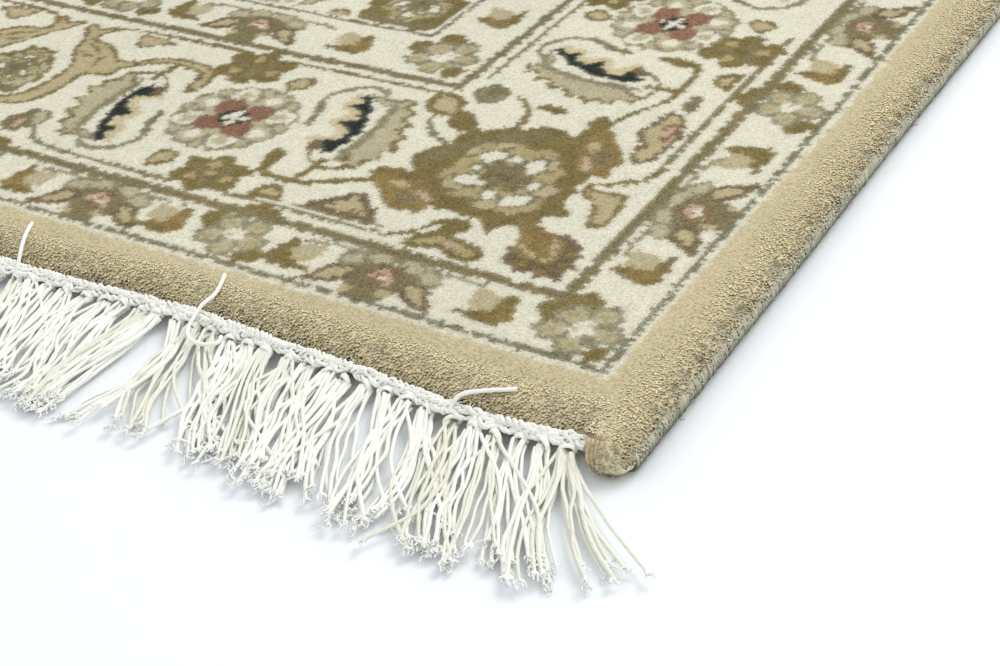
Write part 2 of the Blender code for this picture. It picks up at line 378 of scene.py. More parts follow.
def half_bud(paper, at, turn=0):
    """A small dome on the guard line."""
    paper.place(at, turn)
    paper.fill("tan", [(-5, -3), (-4.2, 2), (0, 4.2), (4.2, 2), (5, -3)], "olive", 1.7)
    paper.line("olive", [(-5, -2.5), (5, -2.5)], 1.2)


def great_palmette(paper, at, turn=0, size=1.0, head="olive", rim=None):
    """The wide border's large flower: a scalloped head, a tan lobed ring, and eight cream eyes in it."""
    paper.place(at, turn, 1, size)
    half_head = [
        (0, 26.2), (4.5, 27.5), (8.5, 24.5), (10, 22.5), (15, 23.5), (20.5, 20), (21.5, 14.5), (20, 11),
        (23.5, 7), (22.5, 2), (19.5, -2), (21.5, -6), (18.5, -10), (15, -10), (15, -14), (11, -16),
        (10, -19), (10.5, -25), (7, -23), (5, -21.5), (0, -25),
    ]
    paper.fill(head, both_sides(half_head), rim, 2)
    paper.fill("brown", both_sides([
        (0, 23.5), (8, 21.5), (17, 20), (18, 15), (10, 16), (5, 19), (0, 20),
    ]))
    half_ring = [
        (0, 20.5), (3, 20), (4.5, 15.5), (8.5, 15.5), (10, 11.5), (14, 11.5), (16.5, 7), (15, 3),
        (16, -1), (14, -5.5), (10.5, -6.5), (10, -10), (7, -12.5), (6, -16.5), (2, -19), (0, -18.5),
    ]
    paper.fill("straw", both_sides(half_ring), "brown", 0.9)
    for side in (-1, 1):
        paper.dot("tan", (side * 12, 3), 3.6, 4.8, 0, "brown", 0.9)
        paper.dot("tan", (side * 7.5, -10.5), 4.2, 3.7, 0, "brown", 0.9)
        paper.dot("tan", (side * 4, 16.5), 3.6, 2.6, side * -20, "brown", 0.8)
    eyes = (
        (0, 11.8, 4.2, 3.6, 0), (8.3, 2.6, 5.5, 3.6, 40), (0, -11.8, 5.2, 3.4, 0),
        (4.8, 8.2, 2.6, 2.6, 0), (5.4, -6.6, 3.2, 2.7, -40),
    )
    for x, y, across, tall, slant in eyes:
        for side in (-1, 1) if x else (1,):
            paper.dot("cream", (side * x, y), across, tall, side * slant, "line", 1)
    paper.dot("brown", (0, 0.5), 5.2, 6)
    for (x, y), _ in around(6, 4.8, 5.5, 30):
        paper.dot("brown", (x, 0.5 + y), 2.2)
    paper.dot("umber", (0, 0), 1.6)


def both_sides(half):
    """A shape from its half: the points, then the same points mirrored in the upright axis."""
    return half + [(-x, y) for x, y in reversed(half) if x]


def shared_corner(paper):
    """The corner: the border's great flower set on the diagonal, and the cupped bud in the angle."""
    great_palmette(paper, (61.8, 61.2), -45)
    paper.place()
    # half leaves at its shoulders
    for swap in (False, True):
        def both(points):
            return [(v, u) if swap else (u, v) for u, v in points]
        paper.fill("amber", both([
            (97, 52), (90, 54.5), (83, 54), (79, 50), (73, 47), (71, 37), (75.5, 38.5), (80, 37),
            (85, 40), (88.5, 44), (93, 46.5),
        ]))
        paper.fill("olive", both([(98, 53), (90, 55.5), (82, 55.5), (79, 53), (83, 51), (90, 51)]))
        paper.fill("brown", both([(80, 46), (84, 45), (80, 40), (76, 40), (77, 43)]))
        paper.fill("tan", both([(88.5, 49), (85, 50.5), (81.5, 48), (85, 46)]))
        paper.fill("pink", both([(80.5, 48), (76, 47.5), (71.5, 44), (77, 44.5)]))
    # the cupped bud
    paper.fill("umber", [
        (35.5, 43), (29.5, 42.5), (25, 38), (24.3, 32), (25, 25.5), (31, 24.3), (38, 24.8), (43, 29),
        (44, 36), (37, 37),
    ])
    for u, v in ((25, 40), (24, 34.5), (24.3, 29), (29, 24.3), (34.5, 24), (40, 25)):
        paper.dot("cream", (u, v), 2.3, 2.2)
    for u, v in ((28.5, 37), (27.5, 32), (32, 27.5), (37, 28.5)):
        paper.dot("amber", (u, v), 1.3, 1.2)
    paper.fill("tan", [
        (31.5, 41.5), (35.5, 44.5), (39.5, 43.5), (44, 38), (42, 33), (36, 30.5), (30.5, 30.5),
        (30, 35),
    ], "amber", 1.3)
    paper.fill("amber", [
        (49, 49), (42, 46.5), (36, 40.5), (32.5, 34.5), (33, 32.5), (35, 32.5), (40.5, 35.5),
        (46.5, 41.5),
    ])


def end_border():
    """The border along an end of the rug."""
    paper = Cartoon(END_LENGTH, BORDERS_DEPTH)
    narrow_border(paper, 11, (12, 109, 202), (34.5, 90, 130, 179, 222), (64.5, 153, 245))
    narrow_border(paper, 113, (115, 230), (145, 208), (180,))
    guard_lines(paper)
    paper.place()
    # the thin line that the small motifs hang on
    paper.line("brown", [(74, 26.6), (126, 26.6)], 1.7)
    paper.line("brown", [(142, 25.8), (193, 26), (198, 33), (206, 43)], 1.7)
    paper.line("olive", [(100, 95.1), (155, 95.1)], 1.7)
    paper.line("olive", [(170, 95.3), (216, 95.3), (221, 91), (224, 87)], 1.7)
    # vines
    paper.line("olive", [(75.5, 26.2), (70, 29), (66, 35), (62, 40)], 1.6)
    paper.line("olive", [
        (86, 47), (95, 46.5), (103, 42), (108, 38.5), (116, 38), (122, 39), (124.5, 42),
    ], 2.6)
    paper.line("brown", [(86, 71), (93, 74.5), (97.5, 80), (96.5, 86)], 1.7)
    shared_corner(paper)
    paper.place()
    paper.fill("olive", [
        (93, 86), (88, 89.5), (83, 89.5), (79, 87), (78, 80), (85, 77.5), (90, 78), (92, 81),
    ])
    # a small sprig under the flower
    paper.fill("olive", [(64.5, 40), (60, 41), (56.5, 39.5), (57.5, 32), (64, 31)])
    paper.fill("straw", [
        (70, 24.5), (67, 31), (62, 33.5), (57, 32.5), (52, 31.5), (47.5, 29.5), (47, 25), (54, 23.5),
        (59.5, 27), (64, 23.5),
    ], "olive", 2.1)
    paper.fill("pink", [(60, 29), (57, 30.5), (54, 28.5), (57, 27)])
    # half lotus on the line
    paper.fill("tan", [
        (104, 28.5), (99, 34.5), (95.5, 36), (94, 40), (90, 41), (87, 37.5), (83, 35), (78.5, 28.5),
    ], "umber", 2.3)
    paper.fill("pink", [(90, 30), (88.5, 34.5), (84.5, 31)], "umber", 1)
    paper.fill("pink", [(93, 30), (94.5, 34.5), (99, 31)], "umber", 1)
    paper.line("brown", [(104, 29.2), (78, 29.2)], 1.4)
    # bud beside the long leaf
    paper.fill("tan", [
        (104, 96), (98, 96.5), (92.5, 93), (90.5, 85), (95, 83), (101, 83.5), (103.5, 89),
    ], "olive", 2.3)
    saw_leaf(paper, (115, 69.5))
    paper.place()
    paper.fill("olive", [(127.5, 52), (122.5, 51), (121, 45), (122.5, 40), (126, 43)])
    half_bud(paper, (114, 31.5))
    blossom(paper, (134.5, 33), "straw", 0, 1.02)
    great_rosette(paper, (148.5, 60.5))
    leaflet(paper, (143.5, 84.5), 20)
    leaflet(paper, (152.5, 34.5), 200)
    blossom(paper, (162.5, 88), "amber", 0, 1.1)
    saw_leaf(paper, (182, 51.5), 180)
    great_palmette(paper, (END_LENGTH, 60), 180, 0.6, "stone", "olive")
    # the tan scroll that forks about the middle flower
    paper.place()
    paper.fill("tan", [
        (232.5, 93), (229, 94), (226.2, 90.5), (223.5, 93.5), (220, 94.5), (219.8, 91.5), (222.4, 87.5),
        (221.5, 84.2), (217, 84.5), (210, 81.2), (205, 75.8), (199, 77.7), (192, 83.8), (181, 84.5),
        (173.5, 83.5), (169.5, 79.4), (168, 71.3), (170.5, 65.5), (174.5, 70), (174.2, 77.1),
        (179, 79.4), (190, 79.9), (196.5, 75.1), (201, 71), (199, 67), (204, 65.7), (209, 65),
        (208, 54), (211, 44.3), (219, 39.5), (234, 37), (234, 42), (223, 44), (217.5, 49), (216, 57.3),
        (216.6, 65.5), (219.5, 71), (223.8, 76), (226.2, 83), (231, 88.5),
    ], "olive", 1.5)
    paper.line("olive", [(221, 81.5), (216, 79), (213, 76.5), (216, 74.5), (220, 76)], 1.2)
    paper.line("olive", [(209, 70), (212, 73.5), (210, 76.5)], 1.2)
    paper.dot("stone", (203, 37), 5.5, 6, 30, "line", 1.4)
    paper.dot("brown", (206, 34), 5, 5.5, 0)
    paper.dot("pink", (205, 33.5), 1.4, 2.6)
    paper.fill("tan", [
        (211, 94), (200, 94), (194, 90.5), (200, 89), (204, 84), (209, 88),
    ], "brown", 1.2)
    return paper


def side_border():
    """The border along a side of the rug: the same motifs, a little further apart."""
    paper = Cartoon(SIDE_LENGTH, BORDERS_DEPTH)
    narrow_border(paper, 11, (12, 124, 236, 348), (39, 95, 146, 206, 262, 318), (66, 176, 290))
    narrow_border(paper, 113, (115, 245), (143, 214, 274, 334), (180, 304))
    guard_lines(paper)
    for start in (0, SIDE_REPEAT):
        paper.place((start, 0))
        paper.line("brown", [(78, 27.2), (162, 27.2)], 1.8)
        paper.line("olive", [(108, 95), (204, 95)], 1.8)
        paper.line("olive", [(102, 86), (101, 80), (94, 73), (84, 72.5)], 1.7)
        paper.line("olive", [(82, 26.5), (76, 27.5), (71, 33), (67, 40)], 1.6)
        paper.line("olive", [
            (97, 50), (104, 48.5), (110, 45), (114, 42), (124, 41.5), (134, 42), (137.5, 44),
        ], 1.9)
        paper.dot("sage", (99.5, 89), 6.2, 5.2, 20, "line", 1.4)
        paper.dot("brown", (101, 88.5), 3.4, 3)
        paper.fill("olive", [(100, 73.5), (96.5, 73), (96, 64), (99.5, 63.5), (101, 68)])
        paper.fill("olive", [
            (80, 45.5), (86, 48), (93, 48.5), (102, 52), (100, 56), (90, 55), (82, 57),
        ])
        paper.fill("tan", [
            (80, 33), (84, 39), (91, 37.5), (97, 43), (102, 40), (111, 39), (108, 33), (100, 29.5),
            (88, 30),
        ], "umber", 1.7)
        paper.fill("pink", [(92, 33), (100, 37), (106, 34.5), (100, 31.5)], "rose", 1)
        paper.fill("brown", [(110, 33.5), (114, 32.5), (122, 34), (120, 37.5), (112, 37.5)])
        half_bud(paper, (start + 131, 32.5))
        paper.place((start, 0))
        paper.fill("olive", [(136, 43), (139, 46), (139, 54), (137, 57.5), (134.5, 52), (134, 46)])
        saw_leaf(paper, (start + 124.5, 70))
        blossom(paper, (start + 149, 36.5), "moss", 90, 1.1)
        leaflet(paper, (start + 155.5, 86), 160)
        leaflet(paper, (start + 166, 38), -30)
        great_rosette(paper, (start + 158.6, 62.5))
        blossom(paper, (start + 172, 88), "amber", 0, 1.05)
        saw_leaf(paper, (start + 193.2, 54.5), 180)
        paper.place((start, 0))
        paper.fill("tan", [
            (180, 67), (183, 66.5), (187, 77), (198, 81), (208, 77), (218, 69), (223, 56), (230, 46),
            (242, 40), (244, 45), (234, 52), (230, 62), (236, 72), (246, 80), (244, 86), (232, 83),
            (222, 78), (212, 82), (204, 86), (192, 86), (183, 83),
        ], "olive", 1.5)
    middle = 255.2  # of the run between two great flowers, where a smaller one stands
    great_palmette(paper, (middle, 60), 180, 0.66, "stone", "olive")
    leaflet(paper, (middle, 93))
    for side in (-1, 1):
        paper.place((middle, 0), 0, side)
        paper.fill("olive", [(5, 28), (14, 29), (20, 34), (12, 37), (5, 35)], "brown", 1.7)
    shared_corner(paper)
    paper.place()
    # the tan leaf in the angle beside the great flower
    paper.fill("tan", [
        (66.5, 27), (66.5, 34), (66, 41), (62, 40), (60, 36), (56, 33.5), (50, 32.5), (49, 29),
        (53, 26.2), (60, 27), (64, 28.5),
    ], "olive", 1.7)
    return paper


def field():
    """The field: an all-over of the same flowers on scrolling vines."""
    paper = Cartoon(END_LENGTH - BORDERS_DEPTH, SIDE_LENGTH - BORDERS_DEPTH)
    for row in range(4):
        for column in range(3):
            u = 14 + 46 * column
            v = 16 + 60 * row
            paper.place((u, v))
            turn = 1 if (row + column) % 2 else -1
            paper.line("olive", [(0, -30), (turn * 10, -15), (0, 0), (turn * -10, 15), (0, 30)], 1.5)
            paper.line("olive", [(-23, 0), (-10, turn * 8), (0, 0), (10, turn * -8), (23, 0)], 1.5)
            if (row + column) % 2:
                great_rosette(paper, (u, v))
            else:
                great_palmette(paper, (u, v), 0 if turn > 0 else 180, 0.7)
            leaflet(paper, (u + 23, v + 10), 60 * turn)
            leaflet(paper, (u + 20, v - 16), -120 * turn)
            blossom(paper, (u + 23, v + 30), "amber", 20, 0.8)
            leaflet(paper, (u + 5, v + 28), 100, 1.0, "tan", "brown")
    return paper


end_paper = end_border()
side_paper = side_border()
field_paper = field()


# The pile: the wool knots that make the pattern, one face to a knot, woven as four strips so that none is
# too heavy. Each knot has the wool that the cartoon has there, a little uneven, and each lies a little
# askew. Outside the outer line the knots are plain beige.

WIDTH = 1.000
LENGTH = 1.476
THICKNESS = 0.014
ROLL_RADIUS = THICKNESS / 2
ROLL_SHOWS = 0.479  # half the length of the fringe, beyond which the side rolls' round ends show
ROLL_OVERHANG = 0.012
ROLL_RISE = 0.008
CORNER_RADIUS = 0.009
SIDE_SWAY = 0.0012
SIDE_SWAY_LENGTH = 0.31
END_SWAY = (
    # across, how far inwards the rug's near end swings
    (-0.491, 0.0000),
    (-0.400, 0.0020),
    (-0.300, -0.0022),
    (-0.190, 0.0020),
    (-0.080, -0.0015),
    (0.030, 0.0018),
    (0.160, -0.0026),
    (0.262, 0.0028),
    (0.330, 0.0008),
    (0.440, -0.0050),
    (0.491, 0.0000),
)
END_SLOPE = (
    # the pile's slope down to the fringe: inset from the end, height, both in thicknesses
    (1.10, 1.00),
    (0.75, 0.97),
    (0.45, 0.90),
    (0.22, 0.79),
    (0.06, 0.65),
    (0.00, 0.48),
    (0.00, 0.22),
    (0.05, 0.06),
    (0.16, 0.00),
)
LINE_CORNER = (0.4655, 0.7035)  # of the outer line, from the middle of the rug
KNOT = 0.0021  # m, between knots
STRIPS = 4
KNOT_ASKEW = 0.00034
KNOT_LOFT = 0.00022
UNDULATION = 0.0003
WOOL_WANDER = 0.0011  # m, how far a line of the pattern drifts
WOOL_FRAY = 0.0009  # m, and how far a single knot strays from it
EDGE_STRIP = 2.4  # chart units: the cream strip outside the outer line
TOOTH = 2.1  # chart units: from tooth to tooth along the outer line's edges
WOOL_UNEVEN = 0.075  # of a knot's brightness
SEED = 7

rng = np.random.default_rng(SEED)


def smooth(t):
    """0 to 1 for t from 0 to 1, with soft ends."""
    t = np.clip(t, 0, 1)
    return t * t * (3 - 2 * t)


def read_table(rows, x):
    """A two-column table at x, with a soft step between rows."""
    table = np.array(rows)
    after = np.clip(np.searchsorted(table[:, 0], x), 1, len(table) - 1)
    x0, value0 = table[after - 1].T
    x1, value1 = table[after].T
    return value0 + (value1 - value0) * smooth((x - x0) / (x1 - x0))


def roll_share(x):
    """0 along the fringe to 1 where the side rolls' round ends show."""
    return smooth((np.abs(x) - ROLL_SHOWS) / ROLL_RISE)


end_stations = (WIDTH / 2 - CORNER_RADIUS) * np.sin(np.pi * (np.linspace(0, 1, 57) - 0.5))
end_levels = -LENGTH / 2 + read_table(END_SWAY, end_stations) - ROLL_OVERHANG * roll_share(end_stations)


def near_end(x):
    """Y of the pile's near end at x."""
    return np.interp(x, end_stations, end_levels)


def side_sway(y):
    """How far in from the rug's full width its right side lies at y."""
    half = LENGTH / 2 + ROLL_OVERHANG - CORNER_RADIUS
    fade = np.sin(np.pi * np.clip((1 - y / half) / 2, 0, 1))
    return SIDE_SWAY * fade * (1 - np.cos(2 * np.pi * y / SIDE_SWAY_LENGTH)) / 2


def soft_noise(shape, step, seed):
    """Smooth noise from -1 to 1 over a grid, with a feature every step cells."""
    source = np.random.default_rng(seed).uniform(-1, 1, [int(n / step) + 3 for n in shape])
    for axis, n in enumerate(shape):
        place = np.arange(n) / step
        low = place.astype(int)
        share = smooth(place - low)
        share = share.reshape([-1 if a == axis else 1 for a in range(source.ndim)])
        source = np.take(source, low, axis) * (1 - share) + np.take(source, low + 1, axis) * share
    return source


def linear(colour):
    """Daylight colours, 0 to 255, as a renderer counts them."""
    colour = np.asarray(colour, float) / 255
    return np.where(colour <= 0.04045, colour / 12.92, ((colour + 0.055) / 1.055) ** 2.4)


WOOL_LIGHT = linear(list(WOOLS.values()))


def wool_at(x, y):
    """The number of the wool that the cartoon has at a place on the rug."""
    along_end = (LINE_CORNER[0] - np.abs(x)) / CHART_UNIT
    along_side = (LINE_CORNER[1] - np.abs(y)) / CHART_UNIT
    depth = np.minimum(along_end, along_side)
    papers = (
        (end_paper, along_end, along_side, along_side <= along_end),
        (side_paper, along_side, along_end, along_side > along_end),
        (field_paper, along_end - BORDERS_DEPTH, along_side - BORDERS_DEPTH, depth >= BORDERS_DEPTH),
    )
    wool = np.full(x.shape, WOOL_NUMBER["beige"])
    for paper, along, inward, here in papers:
        here = here & (depth > 0)
        row = np.clip(np.round(inward * SQUARES).astype(int), 0, paper.wool.shape[0] - 1)
        column = np.clip(np.round(along * SQUARES).astype(int), 0, paper.wool.shape[1] - 1)
        wool = np.where(here, paper.wool[row, column], wool)
    wool = np.where((depth > -EDGE_STRIP) & (depth <= 0), WOOL_NUMBER["cream"], wool)
    tooth = 0.85 + 0.35 * np.cos(2 * np.pi * np.maximum(along_end, along_side) / TOOTH)
    return np.where(np.abs(depth) < tooth, WOOL_NUMBER["line"], wool)


def grid_object(name, points, layers=None, loop=False):
    """A sheet of quads through rows of points, with attributes, each as its name, domain and values."""
    rows, columns = points.shape[:2]
    number = np.arange(rows * columns).reshape(rows, columns)
    after = np.roll(number, -1, axis=1) if loop else number[:, 1:]
    before = number if loop else number[:, :-1]
    quads = np.stack([before[:-1], after[:-1], after[1:], before[1:]], axis=-1).reshape(-1, 4)
    mesh = bpy.data.meshes.new(name)
    mesh.vertices.add(rows * columns)
    mesh.vertices.foreach_set("co", points.ravel())
    mesh.loops.add(quads.size)
    mesh.loops.foreach_set("vertex_index", quads.ravel())
    mesh.polygons.add(len(quads))
    mesh.polygons.foreach_set("loop_start", np.arange(0, quads.size, 4))
    mesh.polygons.foreach_set("use_smooth", np.ones(len(quads), bool))
    mesh.update(calc_edges=True)
    for label, domain, values in layers or ():
        if values.ndim == 2:
            mesh.attributes.new(label, "FLOAT", domain).data.foreach_set("value", values.ravel())
        else:
            colours = values.reshape(-1, 3)
            layer = mesh.attributes.new(label, "FLOAT_COLOR", domain)
            layer.data.foreach_set("color", np.column_stack([colours, np.ones(len(colours))]).ravel())
    return placed(name, mesh)


def rug_grid(columns, rows, end_inset, first_side):
    """X and y of a grid over the rug within its edge, and the share that each place is across and along."""
    share_x, share_y = np.meshgrid(
        np.linspace(first_side, -first_side, columns + 1), np.linspace(0, 1, rows + 1)
    )
    flat_x = share_x * (WIDTH / 2 - ROLL_RADIUS)
    rolled = roll_share(flat_x)
    inset = end_inset * THICKNESS * (1 - rolled) + ROLL_RADIUS * rolled
    low_y = near_end(flat_x) + inset
    high_y = -near_end(-flat_x) - inset
    y = low_y + (high_y - low_y) * share_y
    x = share_x * (WIDTH / 2 - ROLL_RADIUS - np.where(share_x > 0, side_sway(y), side_sway(-y)))
    return x, y, share_x, share_y


def knot_middle(grid):
    """The middle of each knot between the corners of a grid."""
    return (grid[1:, 1:] + grid[:-1, :-1]) / 2


def at_corners(colour):
    """The mean of the four knots round each corner between them."""
    padded = np.pad(colour, ((1, 1), (1, 1), (0, 0)), mode="edge")
    return (padded[1:, 1:] + padded[:-1, 1:] + padded[1:, :-1] + padded[:-1, :-1]) / 4


columns = round((WIDTH - 2 * ROLL_RADIUS) / KNOT)
rows = round((LENGTH - 2 * END_SLOPE[0][0] * THICKNESS) / KNOT)
pile_x, pile_y, share_x, share_y = rug_grid(columns, rows, END_SLOPE[0][0], -1)
inner = (np.abs(share_x) < 1) & (share_y > 0) & (share_y < 1)
pile_x = pile_x + inner * rng.uniform(-KNOT_ASKEW, KNOT_ASKEW, pile_x.shape)
pile_y = pile_y + inner * rng.uniform(-KNOT_ASKEW, KNOT_ASKEW, pile_y.shape)
rise = UNDULATION * (soft_noise(pile_x.shape, 40, 1) + soft_noise(pile_x.shape, 9, 2)) / 2
pile_z = THICKNESS + inner * (rise + rng.uniform(-KNOT_LOFT, KNOT_LOFT, pile_x.shape))
pile_points = np.stack([pile_x, pile_y, pile_z], axis=-1)

middle_x = knot_middle(pile_x)
middle_y = knot_middle(pile_y)
stray_x = rng.uniform(-WOOL_FRAY, WOOL_FRAY, middle_x.shape)
stray_y = rng.uniform(-WOOL_FRAY, WOOL_FRAY, middle_x.shape)
wool = wool_at(
    middle_x + WOOL_WANDER * soft_noise(middle_x.shape, 60, 3) + stray_x,
    middle_y + WOOL_WANDER * soft_noise(middle_x.shape, 60, 5) + stray_y,
)
uneven = 1 + WOOL_UNEVEN * rng.uniform(-1, 1, wool.shape) + 0.025 * soft_noise(wool.shape, 3, 8)
uneven = uneven + 0.035 * soft_noise(wool.shape, 50, 9)
dark = (WOOL_LIGHT[wool].mean(-1) < 0.25) & (wool != WOOL_NUMBER["night"])
uneven = np.where(dark, 1 + 2.2 * (uneven - 1) + 0.06 * soft_noise(wool.shape, 4, 12), uneven)
knot_colour = WOOL_LIGHT[wool] * uneven[..., None]
line_depth = np.minimum(LINE_CORNER[0] - np.abs(pile_x), LINE_CORNER[1] - np.abs(pile_y)) / CHART_UNIT
# how open the pile is, most outside the outer line: it sets the bump and the painted shade in the gaps
pile_open = 0.12 + 0.75 * smooth((-line_depth - 2) / 10)
blend_colour = at_corners(knot_colour)


class Wire:
    """One output in a node tree. Arithmetic on it adds Math nodes."""

    def __init__(self, nodes, socket):
        self.nodes = nodes
        self.socket = socket

    def of(self, output):
        return Wire(self.nodes, self.socket.node.outputs[output])

    def maths(self, operation, *others, clamp=False):
        inputs = dict(enumerate((self, *others)))
        return self.nodes.add("ShaderNodeMath", {"operation": operation, "use_clamp": clamp}, inputs)

    def __add__(self, other):
        return self.maths("ADD", other)

    def __radd__(self, other):
        return self.maths("ADD", other)

    def __sub__(self, other):
        return self.maths("SUBTRACT", other)

    def __rsub__(self, other):
        return self.maths("MULTIPLY_ADD", -1.0, other)

    def __mul__(self, other):
        return self.maths("MULTIPLY", other)

    def __rmul__(self, other):
        return self.maths("MULTIPLY", other)

    def held(self):
        """Held between 0 and 1."""
        return self.maths("ADD", 0.0, clamp=True)


class Nodes:
    """A shader's or a modifier's node tree, to add nodes to."""

    def __init__(self, tree):
        self.tree = tree

    def join(self, value, socket):
        if isinstance(value, Wire):
            self.tree.links.new(value.socket, socket)
        else:
            socket.default_value = value

    def add(self, kind, settings=None, inputs=None, output=0):
        """A node of that kind: its settings first, then its inputs by name or number."""
        node = self.tree.nodes.new(kind)
        for name, value in (settings or {}).items():
            setattr(node, name, value)
        for name, value in (inputs or {}).items():
            self.join(value, node.inputs[name])
        return Wire(self, node.outputs[output]) if node.outputs else node

    def mix(self, share, first, second, blend="MIX"):
        settings = {"data_type": "RGBA", "blend_type": blend}
        return self.add("ShaderNodeMix", settings, {0: share, 6: first, 7: second}, 2)

    def vector(self, operation, *values):
        return self.add("ShaderNodeVectorMath", {"operation": operation}, dict(enumerate(values)))

    def combined(self, x=0.0, y=0.0, z=0.0):
        return self.add("ShaderNodeCombineXYZ", None, {0: x, 1: y, 2: z})

    def named(self, label, kind="FLOAT"):
        """A point's own value, read by its name."""
        return self.add("GeometryNodeInputNamedAttribute", {"data_type": kind}, {"Name": label})

    def keep(self, geometry, label, value, kind="FLOAT"):
        """The geometry with a value kept on its points by a name."""
        settings = {"data_type": kind, "domain": "POINT"}
        inputs = {"Geometry": geometry, "Name": label, "Value": value}
        return self.add("GeometryNodeStoreNamedAttribute", settings, inputs)

    def noise(self, place, scale, detail=2.0):
        return self.add("ShaderNodeTexNoise", None, {"Vector": place, "Scale": scale, "Detail": detail})


def geometry_tree(name, takes, gives):
    """A modifier's tree, its nodes and what it is given. Takes holds (label, kind) for each input."""
    tree = bpy.data.node_groups.new(name, "GeometryNodeTree")
    for label, kind in takes:
        tree.interface.new_socket(label, in_out="INPUT", socket_type=f"NodeSocket{kind}")
    tree.interface.new_socket(gives, in_out="OUTPUT", socket_type="NodeSocketGeometry")
    nodes = Nodes(tree)
    return tree, nodes, nodes.add("NodeGroupInput")


def new_material(name, roughness, sheen):
    """A material, its nodes and its shader."""
    material = bpy.data.materials.new(name)
    material.use_nodes = True
    shader = material.node_tree.nodes["Principled BSDF"]
    shader.inputs["Roughness"].default_value = roughness
    shader.inputs["Sheen Weight"].default_value = sheen
    shader.inputs["Specular IOR Level"].default_value = 0.12
    return material, Nodes(material.node_tree), shader


def wool_material(name, grain_size, bump):
    """Cut wool pile: each knot's own colour, frayed into the next ones', with painted shade in the gaps
    where it is open.
    """
    material, nodes, shader = new_material(name, 0.95, 0.03)
    place = nodes.add("ShaderNodeTexCoord", output="Object")
    knot = nodes.add("ShaderNodeAttribute", {"attribute_name": "knot"})
    blend = nodes.add("ShaderNodeAttribute", {"attribute_name": "blend"})
    opened = nodes.add("ShaderNodeAttribute", {"attribute_name": "open"}, output="Fac")
    fray = ((nodes.noise(place, 1150.0, 1.0) - 0.5) * 4.0 + 0.60).held()
    colour = nodes.mix(fray, knot, blend)
    grain = nodes.noise(place, grain_size, 1.0)
    fibre = nodes.noise(place, 1050.0, 1.0)
    # painted shade: the gaps between the tufts darkened, more where the pile is open
    gap_shade = ((0.54 - grain) * 5.0).held() * (opened * 0.42 + 0.05)
    dark = nodes.add("ShaderNodeRGBToBW", None, {0: colour}) + 0.10
    darkness = dark.maths("POWER", -1.0)
    # the knot's colour lifted a little, less the painted gap shade, with random grain; the painted shade
    # turns warmer as it darkens
    light = 1.06 - gap_shade + (fibre - 0.5) * darkness * 0.36 + (grain - 0.5) * (darkness * 0.15 + 0.04)
    channels = {0: light, 1: light.maths("POWER", 1.08), 2: light.maths("POWER", 1.30)}
    warm_shade_and_grain = nodes.add("ShaderNodeCombineColor", None, channels)
    colour = nodes.mix(1.0, colour, warm_shade_and_grain, "MULTIPLY")
    nodes.join(colour, shader.inputs["Base Color"])
    height = grain * (opened * 0.8 + 0.25) + fibre * 0.45
    normal = nodes.add("ShaderNodeBump", None, {"Strength": bump, "Distance": 0.0010, "Height": height})
    nodes.join(normal, shader.inputs["Normal"])
    return material


pile_wool = wool_material("cut_wool_pile", 640.0, 0.55)

edges = [round(columns * i / STRIPS) for i in range(STRIPS + 1)]
for i, (first, last) in enumerate(zip(edges, edges[1:])):
    strip = grid_object(
        f"pile_{i + 1}",
        pile_points[:, first : last + 1],
        (
            ("knot", "FACE", knot_colour[:, first:last]),
            ("blend", "POINT", blend_colour[:, first : last + 1]),
            ("open", "POINT", pile_open[:, first : last + 1]),
        ),
    )
    strip.data.materials.append(pile_wool)
    # its own map, a plain plan of the strip, so that its colours bake evenly
    plan = strip.data.uv_layers.new(name="OFBake")
    corners = np.zeros(len(strip.data.loops), int)
    strip.data.loops.foreach_get("vertex_index", corners)
    across = np.tile(np.arange(last - first + 1) / (last - first), rows + 1)
    inward = np.repeat(np.arange(rows + 1) / rows, last - first + 1)
    plan.data.foreach_set("uv", np.column_stack([across[corners], inward[corners]]).ravel())
    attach(strip, "root")


# The edge: the same pile where it rolls over the long sides to the floor and slopes to the fringe at the
# ends. It is plain beige, more open than the flat pile, and greyer towards the floor, with painted shadow
# there.

EDGE_STEP = 0.0024  # m, between points along the edge
EDGE_RINGS = 17
EDGE_TUCK = 0.001  # under the flat pile
EDGE_LUMPS = 0.00045
EDGE_SWELL = 0.0016  # of the side rolls, past the circle
CRACK_DEPTH = 0.0015  # between the clumps of wool where the pile opens over the bend
EDGE_TOP = linear((215, 204, 171))
EDGE_LOW = linear((216, 215, 196))


def edge_line():
    """The outline from above, anticlockwise: places, ways outwards, and 1 where it slopes to the fringe."""
    corner_x = WIDTH / 2 - CORNER_RADIUS
    corner_y = LENGTH / 2 + ROLL_OVERHANG - CORNER_RADIUS
    turn = np.radians(np.linspace(0, 90, 10)[1:-1])
    x = np.linspace(-corner_x, corner_x, round(2 * corner_x / EDGE_STEP))
    y = np.linspace(-corner_y, corner_y, round(2 * corner_y / EDGE_STEP))
    parts = []
    for centre, first in ((-corner_x, math.pi), (corner_x, 1.5 * math.pi)):
        out = np.column_stack([np.cos(first + turn), np.sin(first + turn)])
        parts.append((np.array([centre, -corner_y]) + CORNER_RADIUS * out, out, np.zeros(len(turn))))
    end = (np.column_stack([x, near_end(x)]), np.tile([0.0, -1.0], (len(x), 1)), 1 - roll_share(x))
    side = (
        np.column_stack([WIDTH / 2 - side_sway(y), y]),
        np.tile([1.0, 0.0], (len(y), 1)),
        np.zeros(len(y)),
    )
    half = [np.concatenate(p) for p in zip(parts[0], end, parts[1], side)]
    return (
        np.concatenate([half[0], -half[0]]),
        np.concatenate([half[1], -half[1]]),
        np.concatenate([half[2], half[2]]),
    )


edge_places, edge_out, end_share = edge_line()


